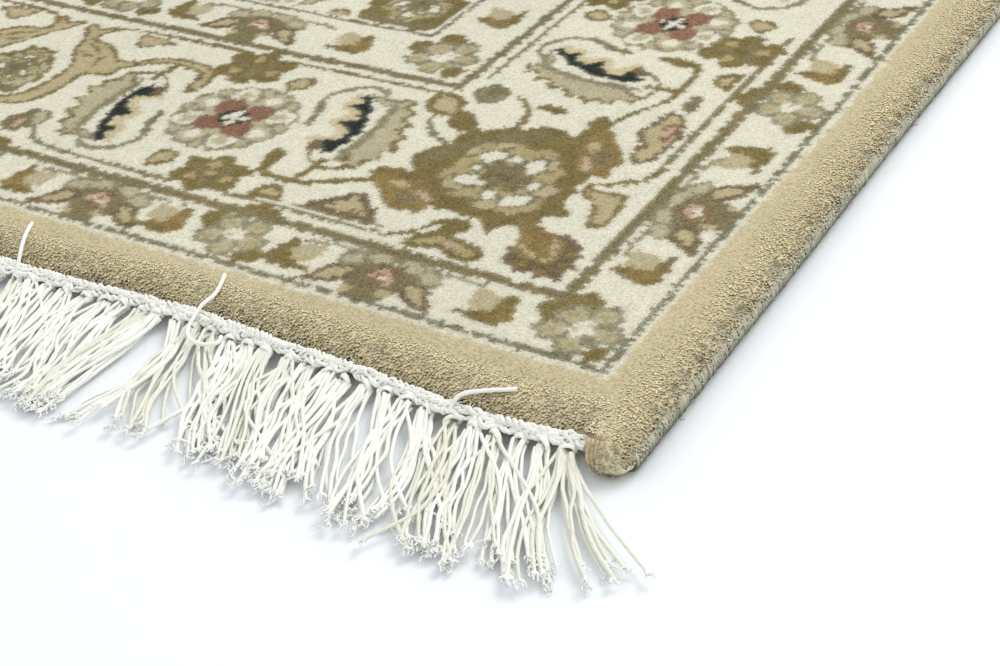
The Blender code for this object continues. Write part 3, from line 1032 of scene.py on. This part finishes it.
def edge_ring(t):
    """One ring of the edge, t from 0 at the top of the pile to 1 at the underside."""
    angle = math.pi * (0.5 - t)
    slope = np.array(END_SLOPE) * THICKNESS
    steps = np.linspace(0, 1, len(slope))
    round_inset = ROLL_RADIUS * (1 - math.cos(angle))
    round_height = ROLL_RADIUS * (1 + math.sin(angle))
    inset = round_inset + (np.interp(t, steps, slope[:, 0]) - round_inset) * end_share
    height = round_height + (np.interp(t, steps, slope[:, 1]) - round_height) * end_share
    return np.column_stack([edge_places - edge_out * inset[:, None], height])


ring_shares = np.linspace(0, 1, EDGE_RINGS)
edge_points = np.stack([edge_ring(t) for t in ring_shares])
tuck = edge_points[0] - np.column_stack([edge_out * EDGE_TUCK, np.full(len(edge_out), EDGE_TUCK)])
edge_points = np.concatenate([tuck[None], edge_points])
lumps = EDGE_LUMPS * (rng.uniform(-1, 1, edge_points.shape[:2]) + soft_noise(edge_points.shape[:2], 3, 11))
shares = np.concatenate([[0.0], ring_shares])[:, None]
lumps = lumps * np.sin(np.pi * shares) ** 0.5


def shoulder_of(shares):
    """1 on the bend of the edge, where the pile opens, to 0 away from it."""
    return np.exp(-(((shares - 0.20) / 0.18) ** 2))


clumps = 0.7 * soft_noise((1, len(edge_places)), 1.4, 13) + 0.4 * soft_noise(lumps.shape, 2.4, 14)
cracks = shoulder_of(shares) * smooth((clumps - 0.10) / 0.22)
swell = EDGE_SWELL * np.sin(np.pi * shares) * (1 - end_share) - CRACK_DEPTH * cracks * smooth(shares / 0.08)
lumps = lumps + swell * np.sin(np.pi * shares)
edge_points[..., :2] += edge_out * lumps[..., None]
edge_points[..., 2] = np.maximum(edge_points[..., 2] + 0.5 * lumps + swell * np.cos(np.pi * shares), 0.0)


def edge_tone(height, steep):
    """The wool's colour by its height on the edge: greyer on the side, in shadow by the floor."""
    level = smooth((height - 0.0090) / 0.0038)[..., None]
    colour = EDGE_LOW + (EDGE_TOP - EDGE_LOW) * np.maximum(level, 1 - steep[:, None])
    floor_shade = 0.40 + 0.60 * smooth((height - 0.0020) / 0.0050)
    return colour * (floor_shade * steep + (0.4 + 0.6 * smooth(height / 0.003)) * (1 - steep))[..., None]


steepness = (1 - end_share) * (1 - 0.85 * smooth(2.5 * np.abs(edge_out[:, 1])))
# painted shade: the wool darker in the cracks between the clumps over the bend; the next line varies its
# tone at random
edge_colour = edge_tone(edge_points[..., 2], steepness) * (1 - 0.3 * cracks)[..., None]
edge_colour = edge_colour * (1 + 0.05 * rng.uniform(-1, 1, edge_colour.shape[:2])[..., None])

edge_wool = wool_material("edge_wool", 430.0, 0.6)
# how open the edge's pile is, which sets the painted shade in its gaps
edge_open = np.full(edge_points.shape[:2], 0.25)
edge_object = grid_object(
    "rolled_edge",
    edge_points,
    (("knot", "POINT", edge_colour), ("blend", "POINT", edge_colour), ("open", "POINT", edge_open)),
    loop=True,
)
edge_object.data.materials.append(edge_wool)
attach(edge_object, "root")
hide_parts("knotted_rug")


# The tufts of the edge: cut ends of the wool that stand up from it, leaning down over the sides. They are
# scattered over the edge and a margin of the flat pile beside it, one piece for each side and end.

TUFT_SPACING = 0.00098
TUFT_DENSITY = 900000.0  # at most, to a square metre
TUFT_RADIUS = 0.00084
TUFT_HEIGHT = 0.0029
TUFT_ROOT = 0.50  # of its height, below the surface
TUFT_MARGIN = 0.016  # m, of the flat pile that they reach in over at the sides
TUFT_END_MARGIN = 0.007  # and at the ends
# painted light: how much brighter the taller tufts are painted than the wool, to offset the shade they cast
# on one another
TUFT_PAINTED_LIGHT = 1.50
SHOULDER_SHADE = 0.17  # of the wool's light, lost where the pile opens over the bend
CRACK_SHADE = 0.22  # and in the cracks between its clumps there
TUFT_DROOP = 1.5
TUFT_TILT = 0.42
TUFT_SIDES = 3
TUFT_LUMP = 430.0  # how fine the lumps are that the tufts stand in, to a metre
TUFT_SOFT = 0.6  # how far each takes its light from the bed it stands on rather than from its own sides
TUFT_RINGS = 10  # of the edge, down from its top; below them it is bare
MARGIN_RINGS = 6  # of the flat pile beside it
CORNER_STEPS = 8  # points of the outline round a corner


def tuft_tree():
    """A node tree that scatters tufts over a bed, as tall as the bed's own attribute says."""
    measures = [(label, "Float") for label in ("Spacing", "Radius", "Height", "Droop", "Tilt")]
    takes = (("Bed", "Geometry"), *measures, ("Seed", "Int"), ("Material", "Material"))
    tree, nodes, given = geometry_tree("scatter_tufts", takes, "Tufts")
    points = nodes.add(
        "GeometryNodeDistributePointsOnFaces",
        {"distribute_method": "POISSON"},
        {
            "Mesh": given.of("Bed"),
            "Distance Min": given.of("Spacing"),
            "Density Max": TUFT_DENSITY,
            "Seed": given.of("Seed"),
        },
    )
    spread = nodes.add(
        "FunctionNodeRandomValue",
        {"data_type": "FLOAT_VECTOR"},
        {"Min": (-1.0, -1.0, -1.0), "Max": (1.0, 1.0, 1.0), "Seed": given.of("Seed")},
    )
    tilt = given.of("Tilt")
    spread = nodes.vector("MULTIPLY", spread, nodes.combined(tilt, tilt, tilt))
    normal = points.of("Normal")
    points = nodes.keep(points, "bed_normal", normal, "FLOAT_VECTOR")
    flat = nodes.add("ShaderNodeSeparateXYZ", None, {0: normal}, "Z")
    drop = nodes.vector("MULTIPLY", nodes.combined(z=given.of("Droop") * -1.0), nodes.combined(z=1.0 - flat))
    axis = nodes.vector("ADD", nodes.vector("ADD", normal, drop), spread)
    turn = nodes.add("FunctionNodeAlignRotationToVector", {"axis": "Z"}, {"Vector": axis})
    between = {2: 0.75, 3: 1.2, "Seed": given.of("Seed")}
    size = nodes.add("FunctionNodeRandomValue", {"data_type": "FLOAT"}, between, 1)
    lump = nodes.noise(nodes.add("GeometryNodeInputPosition"), TUFT_LUMP, 1.0)
    lump = 0.70 + 0.60 * ((lump - 0.40) * 5.0).held()
    size = nodes.combined(size, size, size * nodes.named("tall") * lump)
    tuft = nodes.add(
        "GeometryNodeMeshCone",
        {"fill_type": "NONE"},
        {
            "Vertices": TUFT_SIDES,
            "Side Segments": 1,
            "Radius Top": 0.0,
            "Radius Bottom": given.of("Radius"),
            "Depth": given.of("Height"),
        },
    )
    sunk = (0.0, 0.0, -TUFT_HEIGHT * TUFT_ROOT)
    tuft = nodes.add("GeometryNodeTransform", None, {"Geometry": tuft, "Translation": sunk})
    set_out = {"Points": points, "Instance": tuft, "Rotation": turn, "Scale": size}
    tufts = nodes.add("GeometryNodeInstanceOnPoints", None, set_out)
    tufts = nodes.add("GeometryNodeRealizeInstances", None, {"Geometry": tufts})
    tufts = nodes.add("GeometryNodeSetShadeSmooth", None, {"Geometry": tufts})
    bed_normal = nodes.named("bed_normal", "FLOAT_VECTOR")
    own = nodes.vector("MULTIPLY", nodes.add("GeometryNodeInputNormal"), (1 - TUFT_SOFT,) * 3)
    light_from = nodes.vector("NORMALIZE", nodes.vector("MULTIPLY_ADD", bed_normal, (TUFT_SOFT,) * 3, own))
    settings = {"mode": "FREE", "domain": "POINT"}
    inputs = {"Mesh": tufts, "Custom Normal": light_from}
    tufts = nodes.add("GeometryNodeSetMeshNormal", settings, inputs)
    tufts = nodes.add("GeometryNodeSetMaterial", None, {"Geometry": tufts, "Material": given.of("Material")})
    nodes.add("NodeGroupOutput", None, {"Tufts": tufts})
    return tree


def grow(source, tree, values):
    """Runs a node tree on an object with the given inputs, and keeps what it makes as the object's mesh."""
    modifier = source.modifiers.new("grow", "NODES")
    modifier.node_group = tree
    names = {item.name: item.identifier for item in tree.interface.items_tree if item.in_out == "INPUT"}
    for label, value in values.items():
        modifier[names[label]] = value
    bpy.context.view_layer.update()
    graph = bpy.context.evaluated_depsgraph_get()
    grown = bpy.data.meshes.new_from_object(source.evaluated_get(graph), depsgraph=graph)
    source.modifiers.remove(modifier)
    old = source.data
    source.data = grown
    bpy.data.meshes.remove(old)
    grown.name = source.name
    return source


margin_share = 1 - (1 - TUFT_END_MARGIN / TUFT_MARGIN) * end_share
inner_rows = [
    edge_ring(0) - np.column_stack([edge_out * (margin * margin_share)[:, None], np.zeros(len(edge_out))])
    for margin in np.linspace(TUFT_MARGIN, 0, MARGIN_RINGS + 1)[:-1]
]
bed_points = np.concatenate([inner_rows, edge_points[1 : TUFT_RINGS + 1]])
bed_tall = np.concatenate([np.linspace(0.03, 0.30, MARGIN_RINGS), np.linspace(0.45, 1.05, TUFT_RINGS)])
bed_tall = bed_tall[:, None] * (1 - 0.5 * smooth((np.abs(edge_out[:, 1]) - 0.4) / 0.4) * (1 - end_share))
bed_share = np.concatenate([np.linspace(-0.4, -0.03, MARGIN_RINGS), ring_shares[:TUFT_RINGS]])[:, None]
bed_cracks = np.concatenate([np.zeros((MARGIN_RINGS, len(edge_places))), cracks[1 : TUFT_RINGS + 1]])
bed_tall = bed_tall * (1 - 0.55 * bed_cracks)
bed_colour = edge_tone(bed_points[..., 2], steepness)
# how open the tufts' pile is, which sets the painted shade in its gaps
bed_open = 0.10 + 0.35 * smooth((bed_share + 0.30) / 0.40) * np.ones(len(edge_places))
# painted light lifting the tufts from a few rows out of the flat pile onwards, then painted shade over the
# bend and in its cracks
bed_painted_light_and_shade = 1 + (TUFT_PAINTED_LIGHT - 1) * smooth(np.linspace(0, 3.0, len(bed_points)))[:, None, None]
side_shade = (SHOULDER_SHADE * shoulder_of(bed_share) + CRACK_SHADE * bed_cracks) * (1 - 0.6 * end_share)
bed_painted_light_and_shade = bed_painted_light_and_shade * (1 - side_shade)[..., None]
bed_colour = bed_colour * bed_painted_light_and_shade * (1 + 0.07 * rng.uniform(-1, 1, bed_colour.shape[:2])[..., None])
half_round = len(edge_places) // 2
end_steps = int((np.abs(edge_out[:half_round, 1]) > 0.7).sum()) + CORNER_STEPS
cuts = (
    ("near", 0, end_steps),
    ("right", end_steps, half_round),
    ("far", half_round, half_round + end_steps),
    ("left", half_round + end_steps, 2 * half_round),
)
scatter = tuft_tree()
for number, (label, first, last) in enumerate(cuts):
    taken = np.arange(first, last + 1) % len(edge_places)
    bed = grid_object(
        f"tufts_{label}",
        bed_points[:, taken],
        (
            ("knot", "POINT", bed_colour[:, taken]),
            ("blend", "POINT", bed_colour[:, taken]),
            ("tall", "POINT", bed_tall[:, taken]),
            ("open", "POINT", bed_open[:, taken]),
        ),
    )
    values = {
        "Spacing": TUFT_SPACING,
        "Radius": TUFT_RADIUS,
        "Height": TUFT_HEIGHT,
        "Droop": TUFT_DROOP,
        "Tilt": TUFT_TILT,
        "Seed": number + 3,
        "Material": edge_wool,
    }
    tufts = grow(bed, scatter, values)
    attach(tufts, "root")


# The underside: the backs of the knots, where the pattern shows again, flat on the floor.

BACK_KNOT = 0.0062

back_columns = round((WIDTH - 2 * ROLL_RADIUS) / BACK_KNOT)
back_rows = round(LENGTH / BACK_KNOT)
back_x, back_y, _, _ = rug_grid(back_columns, back_rows, END_SLOPE[-1][0], 1)
back_points = np.stack([back_x, back_y, np.zeros_like(back_x)], axis=-1)
back_wool = wool_at(knot_middle(back_x), knot_middle(back_y))
back_colour = WOOL_LIGHT[back_wool] * rng.uniform(0.85, 1.0, back_wool.shape)[..., None]
woven_back = grid_object(
    "woven_back",
    back_points,
    (("knot", "FACE", back_colour), ("blend", "POINT", at_corners(back_colour))),
)
woven_back.data.materials.append(wool_material("knot_backs", 300.0, 0.5))
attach(woven_back, "root")


# The fringe: the warp threads of soft white cotton, run on past the pile. They are held by a twined strip
# against the pile's end, knotted in small bunches under it, and hang to the floor and lie on it, brushed to
# one side, with frayed tips.

HEADING_GAP = 0.0046  # from the pile's end to the strip's front cord
HEADING_CORDS = (
    # from the pile's end to the cord's middle, height of its middle, which way it twists
    (0.0019, 0.0094, 1),
    (0.0036, 0.0088, -1),
    (0.0053, 0.0076, 1),
)
HEADING_TWIST = 0.0056  # along, for one turn
HEADING_YARN = 0.00092  # radius
HEADING_COIL = 0.00085
HEADING_FUZZ = 260  # fibres, to a yarn
BUNCH = 0.0112  # between bunches
BUNCH_THREADS = 10
BUNCH_NECK = 0.0072  # wide, at its knot
THREAD = 0.00092  # radius
THREAD_STEPS = 20
THREAD_LENGTH = 0.071
THREAD_UNEVEN = 0.007
THREAD_SIDES = 5
STRAYS = 0.26  # of the threads, that leave their bunch in an arc
LEAN = (
    # across, how far a thread's tip lies to the right of its root
    (-0.480, 0.004),
    (-0.340, 0.024),
    (-0.200, 0.006),
    (-0.060, 0.022),
    (0.080, 0.012),
    (0.190, 0.021),
    (0.262, 0.003),
    (0.282, 0.031),
    (0.325, 0.031),
    (0.355, 0.022),
    (0.420, 0.024),
    (0.440, 0.022),
    (0.460, 0.030),
    (0.480, 0.036),
)
COTTON = (255, 255, 248)
COTTON_SHADE = (221, 218, 194)


def yarn_material(name, pale, shaded, ply, turn, strength):
    """Yarn: plies twisted round one another along it, or loose fibre where there are none."""
    material, nodes, shader = new_material(name, 0.85, 0.0)
    place = nodes.add("ShaderNodeTexCoord", output="Object")
    shade = nodes.add("ShaderNodeAttribute", {"attribute_name": "shade"}, output="Fac")
    fibre = nodes.noise(place, 2600.0, 2.0)
    # the shade attribute mixes in the shaded colour: a cream tone on some warp threads, painted shadow
    # towards the floor on the overcasting; the fibre noise is random tone
    share = (1.0 - shade) * 0.9 + (fibre - 0.5) * 0.5
    height = fibre * 0.35
    if ply:
        around = nodes.add("ShaderNodeAttribute", {"attribute_name": "around"}, output="Vector")
        parts = nodes.add("ShaderNodeSeparateXYZ", None, {0: around})
        along = nodes.add("ShaderNodeAttribute", {"attribute_name": "along"}, output="Fac")
        angle = parts.of("Y").maths("ARCTAN2", parts.of("X")) * float(ply) + along * (2 * math.pi / turn)
        ridge = angle.maths("COSINE") * 0.5 + 0.5
        # painted shade: the grooves between the plies a little darker
        share = share + (1.0 - ridge) * 0.15
        height = height + ridge * 0.8
    colour = nodes.mix(share.held(), (*linear(pale), 1), (*linear(shaded), 1))
    nodes.join(colour, shader.inputs["Base Color"])
    normal = nodes.add("ShaderNodeBump", None, {"Strength": strength, "Distance": 0.0004, "Height": height})
    nodes.join(normal, shader.inputs["Normal"])
    return material


def yarn_tree():
    """A node tree that spins lines into round yarn, each point as thick as its own attribute says."""
    takes = (("Lines", "Geometry"), ("Sides", "Int"), ("Material", "Material"))
    tree, nodes, given = geometry_tree("spin_yarn", takes, "Yarn")
    lines = nodes.add("GeometryNodeMeshToCurve", None, {"Mesh": given.of("Lines")})
    lines = nodes.keep(lines, "along", nodes.add("GeometryNodeSplineParameter", output="Length"))
    circle = {"Resolution": given.of("Sides"), "Radius": 1.0}
    ring = nodes.add("GeometryNodeCurvePrimitiveCircle", None, circle)
    ring = nodes.keep(ring, "around", nodes.add("GeometryNodeInputPosition"), "FLOAT_VECTOR")
    round_yarn = {"Curve": lines, "Profile Curve": ring, "Scale": nodes.named("thick"), "Fill Caps": True}
    yarn = nodes.add("GeometryNodeCurveToMesh", None, round_yarn)
    yarn = nodes.add("GeometryNodeSetShadeSmooth", None, {"Geometry": yarn})
    yarn = nodes.add("GeometryNodeSetMaterial", None, {"Geometry": yarn, "Material": given.of("Material")})
    nodes.add("NodeGroupOutput", None, {"Yarn": yarn})
    return tree


def spin(name, lines, tree, sides, material):
    """An object of yarn along some lines. Each line is (points, radii, shade)."""
    mesh = bpy.data.meshes.new(name)
    points = np.concatenate([line[0] for line in lines])
    radii = np.concatenate([line[1] for line in lines])
    shades = np.concatenate([np.full(len(line[0]), line[2]) for line in lines])
    first = np.setdiff1d(np.arange(len(points)), np.cumsum([len(line[0]) for line in lines]) - 1)
    mesh.from_pydata(points.tolist(), np.column_stack([first, first + 1]).tolist(), [])
    for label, values in (("thick", radii), ("shade", shades)):
        mesh.attributes.new(label, "FLOAT", "POINT").data.foreach_set("value", values)
    return grow(placed(name, mesh), tree, {"Sides": sides, "Material": material})


def thread_path(root, tip, sag, bend, wave, kink, phase):
    """A warp thread: out from its knot, down to the floor, and along it to its tip."""
    t = np.linspace(0, 1, THREAD_STEPS)
    lean = t**1.25
    side = np.sin(np.pi * t)
    x = root[0] + (tip[0] - root[0]) * lean + bend * side + wave * np.sin(2 * np.pi * t)
    x = x + kink * side * np.sin(6 * np.pi * t + phase)
    y = root[1] + (tip[1] - root[1]) * t
    drop = np.exp(-((t / 0.20) ** 1.5))
    z = tip[2] + (root[2] - tip[2]) * drop + sag * np.sin(np.pi * np.clip((t - 0.1) / 0.9, 0, 1))
    return np.column_stack([x, y, z])


def fringe_lines(seed):
    """The near fringe: its threads, their frayed tips, and where each bunch's knot is.

    The threads of a bunch run side by side, but for a few that stray.
    """
    dice = np.random.default_rng(seed)
    threads = []
    tips = []
    knots = []
    thinner = 1 - 0.45 * smooth(np.linspace(-14, 1, THREAD_STEPS))
    count = round(2 * ROLL_SHOWS / BUNCH)
    centres = -ROLL_SHOWS + (np.arange(count) + 0.5) * 2 * ROLL_SHOWS / count
    for centre in centres:
        centre = centre + dice.uniform(-0.0016, 0.0016)
        front = near_end(centre) - HEADING_GAP
        lean = read_table(LEAN, np.array([centre]))[0] + dice.normal(0, 0.0040)
        last = centre > ROLL_SHOWS - BUNCH
        squeeze = 4.2 if last else dice.uniform(0.7, 2.0)
        sway = dice.normal(0, 0.0034)
        curve = dice.normal(0, 0.0022)
        knot_y = front - dice.uniform(0.0030, 0.0050)
        level = dice.uniform(0.0046, 0.0060)
        knots.append((centre, knot_y, level))
        tone = dice.uniform(0.45, 0.75) if dice.random() < 0.28 else 1.0
        many = BUNCH_THREADS + int(dice.integers(-2, 2)) + 6 * last
        for k in range(many):
            place = (k + 0.5) / many - 0.5
            root_y = knot_y + dice.uniform(-0.0005, 0.0012)
            root = (centre + place * BUNCH_NECK, root_y, level + dice.uniform(-0.0016, 0.0018))
            length = THREAD_LENGTH + THREAD_UNEVEN * dice.uniform(-1, 1)
            stray = dice.random() < STRAYS and abs(centre) < ROLL_SHOWS - 2.5 * BUNCH
            shift = lean + place * BUNCH * squeeze + dice.normal(0, 0.0110 if stray else 0.0024)
            bend = sway + dice.normal(0, 0.0090 if stray else 0.0018)
            reach = math.sqrt(length**2 - min(abs(shift), 0.06) ** 2)
            low = THREAD + 0.0002
            layer = dice.choice([0, 1.2, 2.4, 3.6]) * THREAD
            tip = (centre + shift, root[1] - reach, low + (3.0 * THREAD if stray else layer))
            sag = dice.uniform(0, 0.0024)
            wave = curve + dice.normal(0, 0.0009)
            kink = dice.normal(0, 0.0005)
            path = thread_path(root, tip, sag, bend, wave, kink, dice.uniform(0, 2 * math.pi))
            path[:, 2] = np.maximum(path[:, 2], low)
            thick = THREAD * dice.uniform(0.85, 1.15) * thinner
            threads.append((path, thick, tone + dice.uniform(-0.12, 0.05)))
            tips.extend(frayed_tip(path, dice))
    return threads, tips, knots


def frayed_tip(path, dice):
    """The loose fibres at a thread's tip: short, curled and spread."""
    ahead = path[-1] - path[-3]
    ahead = ahead / np.linalg.norm(ahead)
    across = np.array([-ahead[1], ahead[0], 0])
    t = np.linspace(0, 1, 6)[:, None]
    fibres = []
    for _ in range(5):
        way = ahead * dice.uniform(0.6, 1.1) + across * dice.normal(0, 0.32)
        way = way + (0, 0, dice.uniform(-0.1, 0.35))
        phase = dice.uniform(0, 2 * math.pi)
        turn = phase + dice.choice([-1, 1]) * dice.uniform(5, 9) * t
        coil = across * (np.cos(turn) - math.cos(phase))
        coil = coil + (ahead + (0, 0, 0.5)) * (np.sin(turn) - math.sin(phase))
        fibre = path[-1] - 0.0030 * ahead + way * dice.uniform(0.0035, 0.0068) * t
        fibre = fibre + coil * dice.uniform(0.0004, 0.0011) * np.minimum(2 * t, 1)
        fibre[:, 2] = np.clip(fibre[:, 2], 0.0004, None)
        fibres.append((fibre, np.linspace(0.00070, 0.00042, 6), 1.0))
    return fibres


def heading_lines():
    """The twined strip: cords side by side, each of two yarns, unevenly twisted opposite ways."""
    x = np.linspace(-ROLL_SHOWS, ROLL_SHOWS, 960)
    lines = []
    for cord, (out, level, hand) in enumerate(HEADING_CORDS):
        uneven = soft_noise((len(x), 6), 5, 41 + cord)
        drift = soft_noise((len(x), 2), 30, 51 + cord)
        for k in range(2):
            angle = hand * 2 * np.pi * (x / HEADING_TWIST + k / 2) + 3.4 * uneven[:, 0] + 3.0 * drift[:, 1]
            coil = HEADING_COIL * (1 + 0.7 * uneven[:, 1 + k])
            gather = 0.0005 * cord * np.cos(2 * np.pi * (x + ROLL_SHOWS - BUNCH / 2) / BUNCH)
            stray = 0.0009 * uneven[:, 3] + 0.0007 * drift[:, 0] + gather
            y = near_end(x) - out - stray + coil * np.cos(angle)
            z = level + 0.0006 * uneven[:, 4] + coil * np.sin(angle)
            thick = HEADING_YARN * (1 + 0.30 * uneven[:, 5])
            lines.append((np.column_stack([x, y, z]), thick, 1.0))
    return lines


def fuzz(lines, each, reach, seed):
    """Short fibres that stand out of some yarns, each of them with a number of fibres."""
    dice = np.random.default_rng(seed)
    t = np.linspace(0, 1, 4)[:, None]
    fibres = []
    for points, radii, shade in lines:
        for start in dice.uniform(0, len(points) - 1, each):
            first = int(start)
            root = points[first] + (points[first + 1] - points[first]) * (start - first)
            way = np.array([dice.normal(0, 1), dice.normal(0, 1), dice.uniform(-0.2, 0.9)])
            curl = dice.normal(0, 0.25, 3) * np.sin(5 * t)
            fibre = root + (way * t + curl) * reach * dice.uniform(0.6, 1.3)
            fibre[:, 2] = np.maximum(fibre[:, 2], 0.0003)
            fibres.append((fibre, np.linspace(0.00030, 0.00014, 4), np.mean(shade)))
    return fibres


def knot_lines(knots, seed):
    """Loops of thread round each bunch's neck, pulled tight at a slant."""
    dice = np.random.default_rng(seed)
    lines = []
    for x, y, z in knots:
        turns = dice.uniform(1.8, 3.2)
        turn = np.linspace(0, 2 * np.pi * turns, 26)
        slant = dice.uniform(-1.3, 1.3)
        wide = dice.uniform(0.0024, 0.0033) * (1 + 0.12 * np.sin(2.3 * turn))
        loop = np.column_stack([
            x + wide * np.cos(turn),
            y + 0.0018 + 0.0024 * (turn / turn[-1] - 0.5) + slant * 0.0016 * np.cos(turn),
            z + 0.0004 + 0.0025 * np.sin(turn),
        ])
        lines.append((loop, np.full(len(turn), dice.uniform(0.0007, 0.0009)), 1.0))
    return lines


spinner = yarn_tree()
thread_cotton = yarn_material("warp_cotton", COTTON, COTTON_SHADE, 2, 0.0055, 0.28)
frayed_cotton = yarn_material("frayed_cotton", (255, 255, 251), (248, 245, 228), 0, 1, 0.0)
heading_cotton = yarn_material("twined_cotton", COTTON, COTTON_SHADE, 3, 0.008, 0.35)
for end, turned in (("near", 1), ("far", -1)):
    threads, tips, knots = fringe_lines(31 if turned == 1 else 57)
    cords = heading_lines()
    parts = (
        ("threads", threads, THREAD_SIDES, thread_cotton),
        ("tips", tips, 3, frayed_cotton),
        ("heading", cords + knot_lines(knots, 5), 5, heading_cotton),
        ("fuzz", fuzz(cords, HEADING_FUZZ, 0.0019, 8), 3, frayed_cotton),
    )
    for label, lines, sides, material in parts:
        lines = [(points * (turned, turned, 1), radii, shade) for points, radii, shade in lines]
        piece = spin(f"{end}_{label}", lines, spinner, sides, material)
        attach(piece, "root")
        if label == "threads":
            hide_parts(f"fringe_{end}_end")


# The overcasting: wool yarn wound round the long sides. It shows below the pile's overhang all along, and
# a few strands slant over the round end of each roll, nearly lost in loose fibre.

OVERCAST_PITCH = 0.0021
OVERCAST_YARN = 0.00105
OVERCAST_LIFT = 0.0002  # off the roll
OVERCAST_END = 0.0085  # m, from the rug's end to the first strand under the overhang
OVERCAST_SLANT = 0.0012
CORNER_STRANDS = np.linspace(0.4822, 0.4902, 5)  # x where each leaves the top of the roll's round end
CORNER_FUZZ = 50  # fibres, to a strand

side_lines = []
corner_lines = []
overcast_dice = np.random.default_rng(71)
last_y = LENGTH / 2 + ROLL_OVERHANG
stations = np.arange(OVERCAST_END - last_y, last_y - OVERCAST_END, OVERCAST_PITCH)
for side in (-1, 1):
    sweep = np.radians(np.linspace(34, -68, 7))
    for y in stations:
        lift = OVERCAST_LIFT + overcast_dice.uniform(0, 0.0004)
        slant = OVERCAST_SLANT * overcast_dice.uniform(0.3, 1.6)
        sway = side_sway(side * y) - EDGE_SWELL
        around_x = WIDTH / 2 - sway - ROLL_RADIUS + (ROLL_RADIUS + lift) * np.cos(sweep)
        around_z = ROLL_RADIUS + (ROLL_RADIUS + lift) * np.sin(sweep)
        around_y = y + slant * np.linspace(-0.5, 0.5, len(sweep))
        strand = np.column_stack([side * around_x, around_y, np.maximum(around_z, 0.0004)])
        thick = OVERCAST_YARN * overcast_dice.uniform(0.8, 1.15)
        thick = thick * overcast_dice.uniform(0.75, 1.2, len(sweep))
        # painted shadow: the strand darker towards the floor under the roll, with a random tone of its own
        lit = smooth((strand[:, 2] - 0.0036) / 0.0058) * overcast_dice.uniform(0.75, 1.0)
        side_lines.append((strand, thick, lit))
for corner, flip in enumerate(((-1, -1, 1), (1, -1, 1), (1, 1, 1), (-1, 1, 1))):
    sweep = np.radians(np.linspace(75, -62, 12))
    for start in CORNER_STRANDS:
        slide = overcast_dice.uniform(0.0030, 0.0048) * np.linspace(0, 1, len(sweep))
        around_x = start + slide + 0.0004 * soft_noise(sweep.shape, 3, int(1e5 * start) + corner)
        out = ROLL_RADIUS + overcast_dice.uniform(0.0002, 0.0007)
        past = np.maximum(around_x - WIDTH / 2 + CORNER_RADIUS, 0)
        back = CORNER_RADIUS - np.sqrt(CORNER_RADIUS**2 - past**2)
        around_y = last_y - back - ROLL_RADIUS + out * np.cos(sweep)
        around_z = np.maximum(ROLL_RADIUS + out * np.sin(sweep), 0.0004)
        thick = OVERCAST_YARN * overcast_dice.uniform(0.75, 1.15, len(sweep))
        # painted shadow: darker towards the floor round the roll's end, with a random tone for each strand
        lit = smooth((around_z - 0.0016) / 0.0060) * overcast_dice.uniform(0.75, 1.0)
        corner_lines.append((np.column_stack([around_x, around_y, around_z]) * flip, thick, lit))
# the shaded colours here are the painted shadow low on the rolls
side_wool = yarn_material("overcast_wool", (212, 206, 182), (84, 84, 66), 0, 1, 1.0)
corner_wool = yarn_material("corner_wool", (212, 196, 160), (128, 108, 78), 0, 1, 1.0)
overcast = spin("overcast_sides", side_lines + fuzz(side_lines, 1, 0.0013, 72), spinner, 5, side_wool)
corner_lines = corner_lines + fuzz(corner_lines, CORNER_FUZZ, 0.0018, 73)
corners = spin("overcast_corners", corner_lines, spinner, 6, corner_wool)
for piece in (overcast, corners):
    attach(piece, "root")


# Three loose yarn ends lie back over the pile at the near end.

LOOSE_YARN = 0.0010  # radius
LOOSE_ENDS = (
    # places along each, the last at its tip
    (
        (0.1600, -0.7445, 0.0080), (0.1590, -0.7400, 0.0130), (0.1565, -0.7355, 0.0152),
        (0.1500, -0.7260, 0.0154), (0.1455, -0.7170, 0.0156),
    ),
    (
        (0.2920, -0.7470, 0.0085), (0.2950, -0.7525, 0.0092), (0.2890, -0.7565, 0.0090),
        (0.2800, -0.7555, 0.0088), (0.2745, -0.7500, 0.0098), (0.2738, -0.7425, 0.0125),
        (0.2738, -0.7370, 0.0150), (0.2752, -0.7300, 0.0153), (0.2720, -0.7210, 0.0154),
        (0.2685, -0.7135, 0.0158),
    ),
    (
        (0.4165, -0.7480, 0.0080), (0.4175, -0.7450, 0.0126), (0.4205, -0.7420, 0.0150),
        (0.4290, -0.7365, 0.0153), (0.4400, -0.7310, 0.0155),
    ),
)

loose_lines = []
for places in LOOSE_ENDS:
    curve = rounded(places, False, 3)
    loose_lines.append((curve, np.full(len(curve), LOOSE_YARN), 0.95))
loose = spin("loose_ends", loose_lines, spinner, 8, thread_cotton)
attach(loose, "root")
